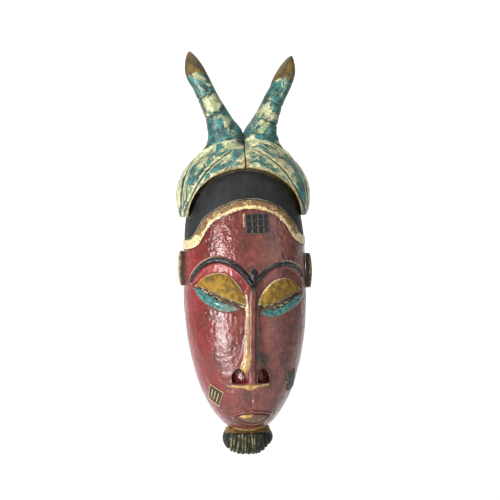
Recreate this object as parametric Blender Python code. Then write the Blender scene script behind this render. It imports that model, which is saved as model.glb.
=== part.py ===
"""A wall mask carved in wood, made of sections that seat on each other and are held with dowels.

Metres. X runs to the viewer's right, -Y towards the viewer and Z up. The origin lies on the
wall face, on the centre line, between the hairline arch and the hanger plate.
"""

import math
from dataclasses import dataclass, replace

import bmesh
import bpy
from mathutils import Matrix, Vector

SIDES = {"left": -1, "right": 1}

# Clearance between pieces that touch, and how far a cutter passes the wood it cuts.
GAP = 0.0003
OVERSHOOT = 0.01

# Heights down the head, from the crown to the chin.
CROWN_Z = 0.040
HAIR_HEIGHT = 0.0505
BAND_WIDTH = 0.0091
FOREHEAD_HEIGHT = 0.0794
NOSE_LENGTH = 0.0945
LIP_DROP = 0.0335
CHIN_DROP = 0.0170
BAND_TOP_Z = CROWN_Z - HAIR_HEIGHT
HAIRLINE_Z = BAND_TOP_Z - BAND_WIDTH
BROW_Z = HAIRLINE_Z - FOREHEAD_HEIGHT
NOSE_BASE_Z = BROW_Z - NOSE_LENGTH
MOUTH_Z = NOSE_BASE_Z - LIP_DROP
CHIN_Z = MOUTH_Z - CHIN_DROP

# Head outline. A fullness of 2 is a true ellipse and a higher one is squarer.
HEAD_HALF_WIDTH = 0.062
HEAD_DEPTH = 0.062
WIDEST_BELOW_BROW = 0.003
CROWN_FULLNESS = 2.8
JAW_FULLNESS = 2.05
PROFILE_FULLNESS = 3.0
SECTION_FULLNESS = 2.2

# Hollow behind the face.
WALL = 0.012
CAVITY_BELOW_HAIRLINE = 0.0085
CHIN_BLOCK = 0.024
CAVITY_FULLNESS = 2.5

# Hairline arch, where the hair cap stands on the face, and the band that covers the joint.
BAND_INSET = 0.0070
HAIR_INSET = 0.0040
SHOULDER_BELOW_BAND = 0.0375
BAND_FOOT = 0.0090
BAND_PROUD = 0.0012
BAND_SEAT = 0.0035

# Crest with its two horns.
CREST_OVERHANG = 0.0060
CREST_TOP_ABOVE_CROWN = 0.0110
CREST_CENTRE_BELOW_CROWN = 0.0450
CREST_FOOT_BELOW_CROWN = 0.0660
CREST_EDGE_BELOW_CROWN = 0.0200
CREST_END = 0.0110
CREST_PROUD = 0.0060
CREST_FULLNESS = 2.0
CREST_PROFILE_FULLNESS = 2.5
CREST_GROOVES = (0.0060, 0.0165)
GROOVE_DEPTH = 0.0013
HORN_ROOT = (0.0150, -0.008)
HORN_TIP = {"left": (0.0523, 0.0998), "right": (0.0503, 0.0940)}
HORN_ROOT_PULL = (0.0050, 0.034)
HORN_TIP_PULL = (0.0085, 0.029)
HORN_BACK = 0.018
# Share of the way up a horn, half width and half depth there.
HORN_STATIONS = (
    (0.00, 0.0225, 0.0170),
    (0.14, 0.0205, 0.0160),
    (0.26, 0.0150, 0.0125),
    (0.38, 0.0122, 0.0105),
    (0.54, 0.0103, 0.0092),
    (0.70, 0.0097, 0.0086),
    (0.80, 0.0096, 0.0080),
    (0.87, 0.0084, 0.0068),
    (0.94, 0.0052, 0.0046),
    (1.00, 0.0012, 0.0012),
)
HORN_RINGS = (0.42, 0.58)
RING_DEPTH = 0.0012
RING_HALF_SHARE = 0.010

# Carved features of the face.
BROW_RADIUS = 0.0026
BROW_REACH = 0.0570
BROW_HEIGHT = 0.0306
BROW_DROOP = 0.0090
EYE_HALF_LENGTH = 0.0262
EYE_HALF_HEIGHT = 0.0092
EYE_PROUD = 0.0052
EYE_CENTRE = (0.0305, 0.0010)
EYE_TILT = 24
SLIT_BELOW_EYE = 0.0088
SLIT_HALF_LENGTH = 0.0160
SLIT_HEIGHT = 0.0026
NOSE_HALF_WIDTH = 0.0042
NOSE_TOP_PROUD = 0.0035
NOSE_TIP_PROUD = 0.0160
NOSTRIL_OUT = 0.0112
NOSTRIL_RADIUS = 0.0092
NOSTRIL_PIT = 0.0058
MOUTH_HALF_WIDTH = 0.0196
MOUTH_HALF_HEIGHT = 0.0070
MOUTH_PROUD = 0.0040

# Scar tablets, let into the skin of the face.
TABLET_SEAT = 0.0030
TABLET_PROUD = 0.0006
TABLET_BAR_PROUD = 0.0007
TABLET_RIM = 0.0012
TABLET_BAR_SPACING = 0.0010

# Ears, each with a tenon in the side of the face.
EAR_BELOW_BAND = 0.0664
EAR_RIGHT_DROP = 0.0045
EAR_HALF_HEIGHT = 0.0175
EAR_HALF_DEPTH = 0.0085
EAR_OUT = 0.0054
EAR_BACK = 0.0060
EAR_RIM = 0.0030
EAR_SCOOP = 0.0022
TENON_LENGTH = 0.0070
TENON_HALF_HEIGHT = 0.0090
TENON_HALF_DEPTH = 0.0040

# Beard under the chin.
BEARD_HALF_WIDTH = 0.0254
BEARD_DEPTH = 0.0310
BEARD_BELOW_CHIN = 0.0220
BEARD_WIDEST_BELOW_CHIN = 0.0030
BEARD_TOP_ABOVE_CHIN = 0.0090
BEARD_FULLNESS = 2.6
BEARD_GROOVES = 9

# Dowels. Each is centred on its joint.
HAIR_DOWEL_RADIUS = 0.0035
HAIR_DOWEL_LENGTH = 0.024
HAIR_DOWEL_X = 0.018
HAIR_DOWEL_BACK = 0.028
CREST_DOWEL_RADIUS = 0.0040
CREST_DOWEL_LENGTH = 0.026
CREST_DOWEL_X = 0.020
CREST_DOWEL_BACK = 0.018
SEAM_DOWEL_RADIUS = 0.0030
SEAM_DOWEL_LENGTH = 0.022
SEAM_DOWEL_BACK = 0.013
BEARD_DOWEL_RADIUS = 0.0030
BEARD_DOWEL_LENGTH = 0.022
BEARD_DOWEL_X = 0.0090
BEARD_DOWEL_BACK = 0.0140
DOWEL_CHAMFER = 0.0006
DOWEL_END_ROOM = 0.0010

# Hanger plate, let into the back of the hair cap with two round-head screws.
PLATE_ABOVE_ORIGIN = 0.0150
PLATE_LENGTH = 0.050
PLATE_HEIGHT = 0.016
PLATE_THICKNESS = 0.0015
PLATE_RECESS = 0.0042
KEYHOLE_RADIUS = 0.0042
KEYHOLE_SLOT = 0.0020
KEYHOLE_RISE = 0.0060
NAIL_POCKET = 0.0070
SCREW_X = 0.0190
SCREW_RADIUS = 0.0015
SCREW_LENGTH = 0.0120
SCREW_HEAD_RADIUS = 0.0030
SCREW_HEAD_HEIGHT = 0.0017
SCREW_SLOT = 0.0007

# Smoothness of the solids. Twice an odd number of columns puts no edge on the centre line.
COLUMNS = 46
ROWS = 30
ARC_STEPS = 28
BROW_STEPS = 18
GROOVE_STEPS = 9
DOWEL_SIDES = 16

# Colour, roughness and metallic value of each finish.
FINISHES = {
    "red_paint": ((0.24, 0.045, 0.04), 0.38, 0.0),
    "black_paint": ((0.022, 0.022, 0.024), 0.5, 0.0),
    "gold_paint": ((0.62, 0.42, 0.16), 0.45, 0.0),
    "turquoise_paint": ((0.12, 0.36, 0.34), 0.5, 0.0),
    "ochre_paint": ((0.36, 0.27, 0.08), 0.5, 0.0),
    "bare_wood": ((0.46, 0.31, 0.17), 0.7, 0.0),
    "zinc_steel": ((0.55, 0.55, 0.54), 0.35, 1.0),
}


def reach(share, fullness):
    """How wide a superellipse is, from 1 to 0, at this share of the way to its end."""
    return max(0.0, 1.0 - abs(share) ** fullness) ** (1.0 / fullness)


@dataclass(frozen=True)
class Oval:
    """A domed form with its flat back on the wall plane, from which each carved section is cut."""

    centre_z: float
    half_width: float
    rise: float
    drop: float
    depth: float
    upper_fullness: float
    lower_fullness: float
    profile_fullness: float = PROFILE_FULLNESS

    def grown(self, by):
        """The same form with its skin moved out by this much."""
        return replace(
            self,
            half_width=self.half_width + by,
            rise=self.rise + by,
            drop=self.drop + by,
            depth=self.depth + by,
        )

    def share(self, z):
        """Height as a share of the way to the top, or to the bottom where it is negative."""
        height = z - self.centre_z
        return height / (self.rise if height > 0 else self.drop)

    def half_width_at(self, z):
        share = self.share(z)
        fullness = self.upper_fullness if share > 0 else self.lower_fullness
        return self.half_width * reach(share, fullness)

    def depth_at(self, z):
        return self.depth * reach(self.share(z), self.profile_fullness)

    def front(self, x, z):
        """The point on the skin in front of this place."""
        across = x / max(self.half_width_at(z), GAP)
        return Vector((x, -self.depth_at(z) * reach(across, SECTION_FULLNESS), z))

    def normal(self, x, z):
        step = 0.0005
        across = self.front(x + step, z) - self.front(x - step, z)
        up = self.front(x, z + step) - self.front(x, z - step)
        return across.cross(up).normalized()

    def inside(self, x, y, z):
        if abs(self.share(z)) >= 1:
            return False
        across = abs(x) / max(self.half_width_at(z), GAP)
        ahead = abs(y) / max(self.depth_at(z), GAP)
        return across**SECTION_FULLNESS + ahead**SECTION_FULLNESS < 1

    def top_at(self, x, y):
        """Height of the skin above this place, found by halving."""
        low = self.centre_z
        high = self.centre_z + self.rise
        for _ in range(40):
            middle = (low + high) / 2
            if self.inside(x, y, middle):
                low = middle
            else:
                high = middle
        return low

    def place(self, unit):
        """Where a point of the front half of a unit sphere goes on this form."""
        fullness = self.upper_fullness if unit.z > 0 else self.lower_fullness
        share = math.copysign(min(1.0, abs(unit.z)) ** (2 / fullness), unit.z)
        z = self.centre_z + share * (self.rise if unit.z > 0 else self.drop)
        ring = math.hypot(unit.x, unit.y)
        if ring < 1e-6:
            return Vector((0, 0, z))
        bend = 2 / SECTION_FULLNESS
        across = math.copysign(abs(unit.x / ring) ** bend, unit.x)
        ahead = abs(unit.y / ring) ** bend if unit.y < -1e-6 else 0.0
        return Vector((across * self.half_width * ring ** (2 / fullness), -ahead * self.depth_at(z), z))

    def solid(self, name, behind=0.0):
        """The closed form. Its back can be carried past the wall plane, for a cutter."""
        bm = bmesh.new()
        turn = Matrix.Rotation(math.pi / 2, 4, "Z")
        bmesh.ops.create_uvsphere(bm, u_segments=COLUMNS, v_segments=ROWS, radius=1, matrix=turn)
        back = [v for v in bm.verts if v.co.y > 1e-4]
        bmesh.ops.delete(bm, geom=back, context="VERTS")
        for vert in bm.verts:
            vert.co = self.place(vert.co)
        rim = [edge for edge in bm.edges if edge.is_boundary]
        wall_face = bmesh.ops.contextual_create(bm, geom=rim)["faces"]
        if behind:
            pushed = bmesh.ops.extrude_face_region(bm, geom=wall_face)["geom"]
            moved = [part for part in pushed if isinstance(part, bmesh.types.BMVert)]
            bmesh.ops.translate(bm, verts=moved, vec=(0, behind, 0))
            bmesh.ops.delete(bm, geom=wall_face, context="FACES_ONLY")
        return finish_mesh(bm, name)


HEAD = Oval(
    centre_z=BROW_Z - WIDEST_BELOW_BROW,
    half_width=HEAD_HALF_WIDTH,
    rise=CROWN_Z - BROW_Z + WIDEST_BELOW_BROW,
    drop=BROW_Z - WIDEST_BELOW_BROW - CHIN_Z,
    depth=HEAD_DEPTH,
    upper_fullness=CROWN_FULLNESS,
    lower_fullness=JAW_FULLNESS,
)
CAVITY = Oval(
    centre_z=HEAD.centre_z,
    half_width=HEAD_HALF_WIDTH - WALL,
    rise=HAIRLINE_Z - CAVITY_BELOW_HAIRLINE - HEAD.centre_z,
    drop=HEAD.centre_z - CHIN_Z - CHIN_BLOCK,
    depth=HEAD_DEPTH - WALL,
    upper_fullness=CAVITY_FULLNESS,
    lower_fullness=JAW_FULLNESS,
)
CREST_CENTRE_Z = CROWN_Z - CREST_CENTRE_BELOW_CROWN
CREST_FOOT_Z = CROWN_Z - CREST_FOOT_BELOW_CROWN
CREST_EDGE_Z = CROWN_Z - CREST_EDGE_BELOW_CROWN
CREST_RISE = CREST_CENTRE_BELOW_CROWN + CREST_TOP_ABOVE_CROWN
CREST_EDGE_REACH = reach((CREST_EDGE_Z - CREST_CENTRE_Z) / CREST_RISE, CREST_PROFILE_FULLNESS)
CREST = Oval(
    centre_z=CREST_CENTRE_Z,
    half_width=HEAD_HALF_WIDTH + CREST_OVERHANG,
    rise=CREST_RISE,
    drop=3 * (CREST_CENTRE_Z - CREST_FOOT_Z),
    depth=(HEAD.depth_at(CREST_EDGE_Z) + CREST_PROUD) / CREST_EDGE_REACH,
    upper_fullness=CREST_FULLNESS,
    lower_fullness=CREST_FULLNESS,
    profile_fullness=CREST_PROFILE_FULLNESS,
)
BEARD = Oval(
    centre_z=CHIN_Z - BEARD_WIDEST_BELOW_CHIN,
    half_width=BEARD_HALF_WIDTH,
    rise=3 * (BEARD_WIDEST_BELOW_CHIN + BEARD_TOP_ABOVE_CHIN),
    drop=BEARD_BELOW_CHIN - BEARD_WIDEST_BELOW_CHIN,
    depth=BEARD_DEPTH,
    upper_fullness=BEARD_FULLNESS,
    lower_fullness=BEARD_FULLNESS,
)
SHOULDER_Z = BAND_TOP_Z - SHOULDER_BELOW_BAND
BAND_FOOT_Z = SHOULDER_Z - BAND_FOOT
HAIR_RADIUS = HEAD_HALF_WIDTH - HAIR_INSET
SKIN_RADIUS = HEAD_HALF_WIDTH - BAND_INSET
EAR_Z = {-1: BAND_TOP_Z - EAR_BELOW_BAND, 1: BAND_TOP_Z - EAR_BELOW_BAND - EAR_RIGHT_DROP}
OUTSIDE = HEAD_HALF_WIDTH + CREST_OVERHANG + OVERSHOOT
AHEAD = -(HEAD_DEPTH + NOSE_TIP_PROUD + OVERSHOOT)


# ---------------------------------------------------------------- mesh helpers


def finish_mesh(bm, name):
    """Makes an object of a bmesh, in triangles that point out."""
    bmesh.ops.triangulate(bm, faces=bm.faces[:])
    bmesh.ops.recalc_face_normals(bm, faces=bm.faces[:])
    mesh = bpy.data.meshes.new(name)
    bm.to_mesh(mesh)
    bm.free()
    obj = bpy.data.objects.new(name, mesh)
    bpy.context.scene.collection.objects.link(obj)
    return obj


def prism(name, outline, start, end, along="y"):
    """A flat outline pushed through from start to end. It is drawn in X and Z, or in Y and Z for along x."""
    bm = bmesh.new()
    if along == "y":
        corners = [bm.verts.new((a, start, b)) for a, b in outline]
        move = (0, end - start, 0)
    else:
        corners = [bm.verts.new((start, a, b)) for a, b in outline]
        move = (end - start, 0, 0)
    face = bm.faces.new(corners)
    pushed = bmesh.ops.extrude_face_region(bm, geom=[face])["geom"]
    moved = [part for part in pushed if isinstance(part, bmesh.types.BMVert)]
    bmesh.ops.translate(bm, verts=moved, vec=move)
    return finish_mesh(bm, name)


def block(name, low, high):
    """A box from its lowest corner to its highest."""
    size = Vector(high) - Vector(low)
    middle = (Vector(high) + Vector(low)) / 2
    bm = bmesh.new()
    bmesh.ops.create_cube(bm, size=1, matrix=Matrix.Translation(middle) @ Matrix.Diagonal((*size, 1)))
    return finish_mesh(bm, name)


def rod(name, start, end, radius, chamfer=0.0):
    """A round rod between two points."""
    start = Vector(start)
    along = Vector(end) - start
    bm = bmesh.new()
    turn = along.to_track_quat("Z", "Y").to_matrix().to_4x4()
    bmesh.ops.create_cone(
        bm,
        cap_ends=True,
        segments=DOWEL_SIDES,
        radius1=radius,
        radius2=radius,
        depth=along.length,
        matrix=Matrix.Translation(start + along / 2) @ turn,
    )
    if chamfer:
        ends = [edge for edge in bm.edges if any(len(face.verts) > 4 for face in edge.link_faces)]
        bmesh.ops.bevel(bm, geom=ends, offset=chamfer, segments=1, profile=0.5, affect="EDGES", material=-1)
    return finish_mesh(bm, name)


def pebble(name, centre, half_sizes, turn=None):
    """A sphere squashed to these half sizes, for a rounded swelling or a scoop."""
    bm = bmesh.new()
    place = Matrix.Translation(centre) @ (turn or Matrix.Identity(4)) @ Matrix.Diagonal((*half_sizes, 1))
    bmesh.ops.create_uvsphere(bm, u_segments=18, v_segments=10, radius=1, matrix=place)
    return finish_mesh(bm, name)


def strip(name, points, radius, roundness):
    """A strip along a line of points, as a closed mesh. Its section has 4 sides, and 2 more per roundness."""
    curve = bpy.data.curves.new(name, "CURVE")
    curve.dimensions = "3D"
    curve.bevel_depth = radius
    curve.bevel_resolution = roundness
    curve.use_fill_caps = True
    spline = curve.splines.new("POLY")
    spline.points.add(len(points) - 1)
    for point, place in zip(spline.points, points):
        point.co = (*place, 1)
    obj = bpy.data.objects.new(name, curve)
    bpy.context.scene.collection.objects.link(obj)
    bpy.context.view_layer.update()
    bm = bmesh.new()
    bm.from_mesh(obj.evaluated_get(bpy.context.evaluated_depsgraph_get()).to_mesh())
    bmesh.ops.remove_doubles(bm, verts=bm.verts[:], dist=1e-6)
    discard(obj)
    return finish_mesh(bm, name)


def discard(obj):
    bpy.data.objects.remove(obj, do_unlink=True)


def boolean(obj, tool, operation):
    """Cuts, joins or keeps what the tool shares with obj, and removes the tool."""
    modifier = obj.modifiers.new(operation, "BOOLEAN")
    modifier.operation = operation
    modifier.object = tool
    modifier.solver = "EXACT"
    bpy.context.view_layer.update()
    graph = bpy.context.evaluated_depsgraph_get()
    shaped = bpy.data.meshes.new_from_object(obj.evaluated_get(graph))
    obj.modifiers.clear()
    bm = bmesh.new()
    bm.from_mesh(shaped)
    bmesh.ops.triangulate(bm, faces=bm.faces[:])
    bm.to_mesh(shaped)
    bm.free()
    obj.data = shaped
    discard(tool)
    return obj


def cut(obj, tool):
    return boolean(obj, tool, "DIFFERENCE")


def join(obj, tool):
    return boolean(obj, tool, "UNION")


def keep(obj, tool):
    return boolean(obj, tool, "INTERSECT")


def dress(obj, finish):
    """Names the mesh, shades its round parts smooth and gives it its finish."""
    obj.data.name = obj.name
    material = bpy.data.materials.get(finish)
    if material is None:
        colour, roughness, metallic = FINISHES[finish]
        material = bpy.data.materials.new(finish)
        material.use_nodes = True
        shader = material.node_tree.nodes["Principled BSDF"]
        shader.inputs["Base Color"].default_value = (*colour, 1)
        shader.inputs["Roughness"].default_value = roughness
        shader.inputs["Metallic"].default_value = metallic
    obj.data.materials.clear()
    obj.data.materials.append(material)
    obj.data.shade_smooth()
    obj.data.set_sharp_from_angle(angle=math.radians(35))
    return obj


# ---------------------------------------------------------------- shared outlines


def arc(centre_z, half_width, height, low_z):
    """Points of an upright half oval from its left foot to its right foot, both at low_z."""
    lean = math.asin(max(-1.0, min(1.0, (low_z - centre_z) / height)))
    steps = [lean + (math.pi - 2 * lean) * i / ARC_STEPS for i in range(ARC_STEPS + 1)]
    return [(-half_width * math.cos(a), centre_z + height * math.sin(a)) for a in steps]


def hair_arch(room):
    """The joint between the face and the hair cap, moved out by room."""
    radius = HAIR_RADIUS + room
    return arc(BAND_TOP_Z - HAIR_RADIUS, radius, radius, SHOULDER_Z + room)


def skin_arch(room):
    """The hairline, which is the lower edge of the band, moved out by room."""
    radius = SKIN_RADIUS + room
    return arc(HAIRLINE_Z - SKIN_RADIUS, radius, radius, BAND_FOOT_Z + room)


def band_outline(room):
    """The front view of the headband: an arch on two feet that turn out to the sides."""
    inner = skin_arch(-room)
    outer = hair_arch(room)
    foot = [(OUTSIDE, SHOULDER_Z + room), (OUTSIDE, BAND_FOOT_Z - room)]
    mirrored = [(-x, z) for x, z in reversed(foot)]
    return mirrored + outer + foot + inner[::-1]


def crest_arch(room, inset=0.0):
    """The open underside of the crest, over the hair."""
    half_width = HEAD_HALF_WIDTH + CREST_OVERHANG - CREST_END + inset + room
    height = CREST_EDGE_Z - CREST_FOOT_Z + room
    return arc(CREST_FOOT_Z, half_width, height, CREST_FOOT_Z)


# ---------------------------------------------------------------- face


def on_skin(x, z, proud=0.0):
    return HEAD.front(x, z) + HEAD.normal(x, z) * proud


def skin_frame(x, z, roll=0.0):
    """A frame on the skin: X across, Y into the wood, Z up the face, turned by roll degrees."""
    out = HEAD.normal(x, z)
    up = (Vector((0, 0, 1)) - out * out.z).normalized()
    across = up.cross(out)
    axes = Matrix((across, -out, up)).transposed().to_4x4()
    return Matrix.Translation(HEAD.front(x, z)) @ axes @ Matrix.Rotation(math.radians(roll), 4, "Y")


def brow_points(side):
    """The line of one brow, from the middle of the face over the eye to the temple."""
    points = []
    for i in range(BROW_STEPS + 1):
        share = i / BROW_STEPS
        x = BROW_REACH * (0.02 + 0.98 * math.sin(share * math.pi / 2) ** 0.9)
        rise = BROW_HEIGHT * math.sin(math.pi * min(1.0, share * 0.94)) ** 0.62
        droop = BROW_DROOP * max(0.0, share - 0.8) / 0.2
        points.append(on_skin(side * x, BROW_Z + rise + droop, BROW_RADIUS * 0.3))
    return points


def eye_place(side, below=0.0):
    x = EYE_CENTRE[0]
    z = BROW_Z - EYE_CENTRE[1] - below
    return skin_frame(side * x, z, -side * EYE_TILT)


def add_features(face):
    """Joins the nose, brows, lids and lips to the face."""
    top = HEAD.front(0, BROW_Z)
    base = HEAD.front(0, NOSE_BASE_Z)
    side_view = [
        (top.y + OVERSHOOT, BROW_Z),
        (top.y - NOSE_TOP_PROUD, BROW_Z - NOSE_TOP_PROUD),
        (base.y - NOSE_TIP_PROUD, NOSE_BASE_Z + NOSE_TOP_PROUD),
        (base.y - NOSE_TIP_PROUD + NOSE_TOP_PROUD, NOSE_BASE_Z),
        (base.y + OVERSHOOT, NOSE_BASE_Z),
    ]
    join(face, prism("nose", side_view, -NOSE_HALF_WIDTH, NOSE_HALF_WIDTH, along="x"))
    for side in SIDES.values():
        wing_z = NOSE_BASE_Z + NOSTRIL_RADIUS
        wing = on_skin(side * NOSTRIL_OUT, wing_z)
        sizes = (NOSTRIL_RADIUS, NOSTRIL_RADIUS, NOSTRIL_RADIUS)
        join(face, pebble("wing", wing, sizes))
        pit = wing + Vector((0, -NOSTRIL_RADIUS, 0))
        cut(face, pebble("nostril", pit, (NOSTRIL_PIT, NOSTRIL_PIT, NOSTRIL_PIT)))
        join(face, strip("brow", brow_points(side), BROW_RADIUS, 2))
        frame = eye_place(side)
        lid = (EYE_HALF_LENGTH, EYE_PROUD, EYE_HALF_HEIGHT)
        join(face, pebble("lid", frame.translation, lid, frame.to_3x3().to_4x4()))
    mouth = skin_frame(0, MOUTH_Z)
    lips = (MOUTH_HALF_WIDTH, MOUTH_PROUD, MOUTH_HALF_HEIGHT)
    join(face, pebble("lips", mouth.translation, lips, mouth.to_3x3().to_4x4()))


def eye_slit(side):
    """A slot with round ends, straight through the wall under the lid."""
    frame = eye_place(side, SLIT_BELOW_EYE)
    tilt = math.radians(-side * EYE_TILT)
    across = Vector((math.cos(tilt), math.sin(tilt)))
    up = Vector((-math.sin(tilt), math.cos(tilt)))
    centre = Vector((frame.translation.x, frame.translation.z))
    outline = []
    for end in (1, -1):
        for i in range(7):
            angle = math.pi * (i / 6 - 0.5)
            reach_out = SLIT_HALF_LENGTH + SLIT_HEIGHT / 2 * math.cos(angle)
            lift = SLIT_HEIGHT / 2 * math.sin(angle)
            outline.append(centre + (across * reach_out + up * lift) * end)
    return prism("slit", outline, AHEAD, -WALL)


def build_face():
    """The red face, hollow behind, cut to the arch at the top."""
    face = HEAD.solid("face_shell")
    region = [(-OUTSIDE, SHOULDER_Z - GAP), *hair_arch(-GAP), (OUTSIDE, SHOULDER_Z - GAP)]
    low = CHIN_Z - OVERSHOOT
    keep(face, prism("region", [(-OUTSIDE, low), *region, (OUTSIDE, low)], AHEAD, OVERSHOOT))
    channel = prism("channel", band_outline(GAP), AHEAD, OVERSHOOT)
    cut(channel, HEAD.grown(-BAND_SEAT - GAP).solid("channel_floor", OVERSHOOT * 2))
    cut(face, channel)
    add_features(face)
    for side in SIDES.values():
        cut(face, ear_room(side))
    cut(face, CAVITY.solid("cavity", OVERSHOOT))
    for side in SIDES.values():
        cut(face, eye_slit(side))
        cut(face, ear_tenon(side, GAP))
        cut(face, hair_dowel(side, GAP, DOWEL_END_ROOM))
        cut(face, beard_dowel(side, GAP, DOWEL_END_ROOM))
    for tablet in TABLETS:
        cut(face, tablet_plate(tablet, GAP, OVERSHOOT))
    return dress(face, "red_paint")


# ---------------------------------------------------------------- hair, band and crest


def build_hair():
    """The black hair cap, a solid arch that stands on the face and carries the crest."""
    hair = HEAD.solid("hair_cap")
    high = CROWN_Z + OVERSHOOT
    foot = SHOULDER_Z + GAP
    region = [(-OUTSIDE, high), (-OUTSIDE, foot), *hair_arch(GAP), (OUTSIDE, foot), (OUTSIDE, high)]
    keep(hair, prism("region", region, AHEAD, OVERSHOOT))
    for side in SIDES.values():
        cut(hair, hair_dowel(side, GAP, DOWEL_END_ROOM))
        cut(hair, crest_dowel(side, GAP, DOWEL_END_ROOM))
        cut(hair, screw_hole(side))
    cut(hair, prism("recess", plate_outline(GAP), -PLATE_RECESS, OVERSHOOT))
    pocket = PLATE_RECESS + NAIL_POCKET
    cut(hair, prism("pocket", keyhole_outline(SCREW_HEAD_RADIUS / 2), -pocket, OVERSHOOT))
    return dress(hair, "black_paint")


def build_band():
    """The gold headband, a strip sunk in its channel with its face standing proud."""
    band = HEAD.grown(BAND_PROUD).solid("headband")
    keep(band, prism("region", band_outline(0), AHEAD, OVERSHOOT))
    cut(band, HEAD.grown(-BAND_SEAT).solid("seat", OVERSHOOT))
    return dress(band, "gold_paint")


def horn_line(name, share):
    """Centre of a horn at this share of the way from its root to its tip."""
    side = SIDES[name]
    root = Vector((HORN_ROOT[0], CROWN_Z + HORN_ROOT[1]))
    tip = Vector((HORN_TIP[name][0], CROWN_Z + HORN_TIP[name][1]))
    pull_root = root + Vector(HORN_ROOT_PULL)
    pull_tip = tip - Vector(HORN_TIP_PULL)
    rest = 1 - share
    place = root * rest**3 + pull_root * 3 * rest**2 * share
    place += pull_tip * 3 * rest * share**2 + tip * share**3
    return Vector((side * place.x, -HORN_BACK, place.y))


def horn_rings():
    """The stations of a horn with its two incised rings worked in."""
    stations = list(HORN_STATIONS)
    shares = [station[0] for station in stations]
    for ring in HORN_RINGS:
        after = next(i for i, share in enumerate(shares) if share > ring)
        low, high = HORN_STATIONS[after - 1], HORN_STATIONS[after]
        along = (ring - low[0]) / (high[0] - low[0])
        half_width = low[1] + (high[1] - low[1]) * along
        half_depth = low[2] + (high[2] - low[2]) * along
        stations += [
            (ring - RING_HALF_SHARE, half_width, half_depth),
            (ring, half_width - RING_DEPTH, half_depth - RING_DEPTH),
            (ring + RING_HALF_SHARE, half_width, half_depth),
        ]
    return sorted(stations)


def horn(name):
    """One horn, as rounds bridged from its wide root to its pointed tip."""
    bm = bmesh.new()
    loops = []
    for share, half_width, half_depth in horn_rings():
        step = 0.01
        along = horn_line(name, share + step) - horn_line(name, share - step)
        turn = Matrix.Rotation(math.atan2(along.x, along.z), 4, "Y")
        size = Matrix.Diagonal((half_width, half_depth, 1, 1))
        place = Matrix.Translation(horn_line(name, share)) @ turn @ size
        made = bmesh.ops.create_circle(bm, segments=22, radius=1, matrix=place)
        loops.append(list({edge for vert in made["verts"] for edge in vert.link_edges}))
    for low, high in zip(loops, loops[1:]):
        bmesh.ops.bridge_loops(bm, edges=low + high)
    for end in (loops[0], loops[-1]):
        bmesh.ops.contextual_create(bm, geom=end)
    return finish_mesh(bm, "horn")


def crest_groove(inset):
    """A V-shaped groove that follows the outer edge of the crest, this far in from it."""
    half_width = CREST.half_width - inset
    height = CREST.rise - inset
    line = arc(CREST_CENTRE_Z, half_width, height, CREST_CENTRE_Z)
    foot = CREST_FOOT_Z - GROOVE_DEPTH
    line = [(-half_width, foot), *line, (half_width, foot)]
    return strip("groove", [CREST.front(x, z) for x, z in line], GROOVE_DEPTH, 0)


def build_crest(name):
    """One half of the turquoise crest, with its horn, hollowed to seat on the head."""
    side = SIDES[name]
    crest = CREST.solid(f"crest_{name}")
    keep(crest, block("above", (-OUTSIDE, AHEAD, CREST_FOOT_Z), (OUTSIDE, OVERSHOOT, CROWN_Z * 3)))
    for inset in CREST_GROOVES:
        cut(crest, crest_groove(inset))
    join(crest, horn(name))
    low = (min(side * GAP / 2, side * OUTSIDE), AHEAD, CREST_FOOT_Z - OVERSHOOT)
    high = (max(side * GAP / 2, side * OUTSIDE), OVERSHOOT, CROWN_Z * 5)
    keep(crest, block("half", low, high))
    foot = CREST_FOOT_Z - OVERSHOOT
    under = crest_arch(GAP)
    outline = [(under[0][0], foot), *under, (under[-1][0], foot)]
    cut(crest, prism("underside", outline, AHEAD, OVERSHOOT))
    cut(crest, HEAD.grown(GAP).solid("seat", OVERSHOOT))
    cut(crest, crest_dowel(side, GAP, DOWEL_END_ROOM))
    cut(crest, seam_dowel(GAP, DOWEL_END_ROOM))
    return dress(crest, "turquoise_paint")


# ---------------------------------------------------------------- tablets, ears and beard


@dataclass(frozen=True)
class Tablet:
    """A small scar tablet: its place on the face, its size, and its rows and columns of bars."""

    name: str
    x: float
    z: float
    half_width: float
    half_height: float
    roll: float
    rows: int
    columns: int
    finish: str


TABLETS = (
    Tablet("forehead_tablet", 0.0094, HAIRLINE_Z - 0.0150, 0.0114, 0.0099, 0, 3, 4, "black_paint"),
    Tablet("cheek_tablet_left", -0.0345, MOUTH_Z + 0.0220, 0.0074, 0.0080, 25, 1, 3, "gold_paint"),
    Tablet("cheek_tablet_right", 0.0425, MOUTH_Z + 0.0385, 0.0066, 0.0095, -14, 1, 3, "black_paint"),
)


def tablet_box(tablet, low, high):
    """A box on the skin at a tablet, given in the tablet's own frame."""
    middle = (Vector(low) + Vector(high)) / 2
    size = Vector(high) - Vector(low)
    place = skin_frame(tablet.x, tablet.z, tablet.roll)
    bm = bmesh.new()
    box = place @ Matrix.Translation(middle) @ Matrix.Diagonal((*size, 1))
    bmesh.ops.create_cube(bm, size=1, matrix=box)
    return finish_mesh(bm, tablet.name)


def tablet_plate(tablet, room=0.0, ahead=0.0):
    across = tablet.half_width + room
    up = tablet.half_height + room
    front = -TABLET_PROUD - ahead
    return tablet_box(tablet, (-across, front, -up), (across, TABLET_SEAT + room, up))


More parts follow.
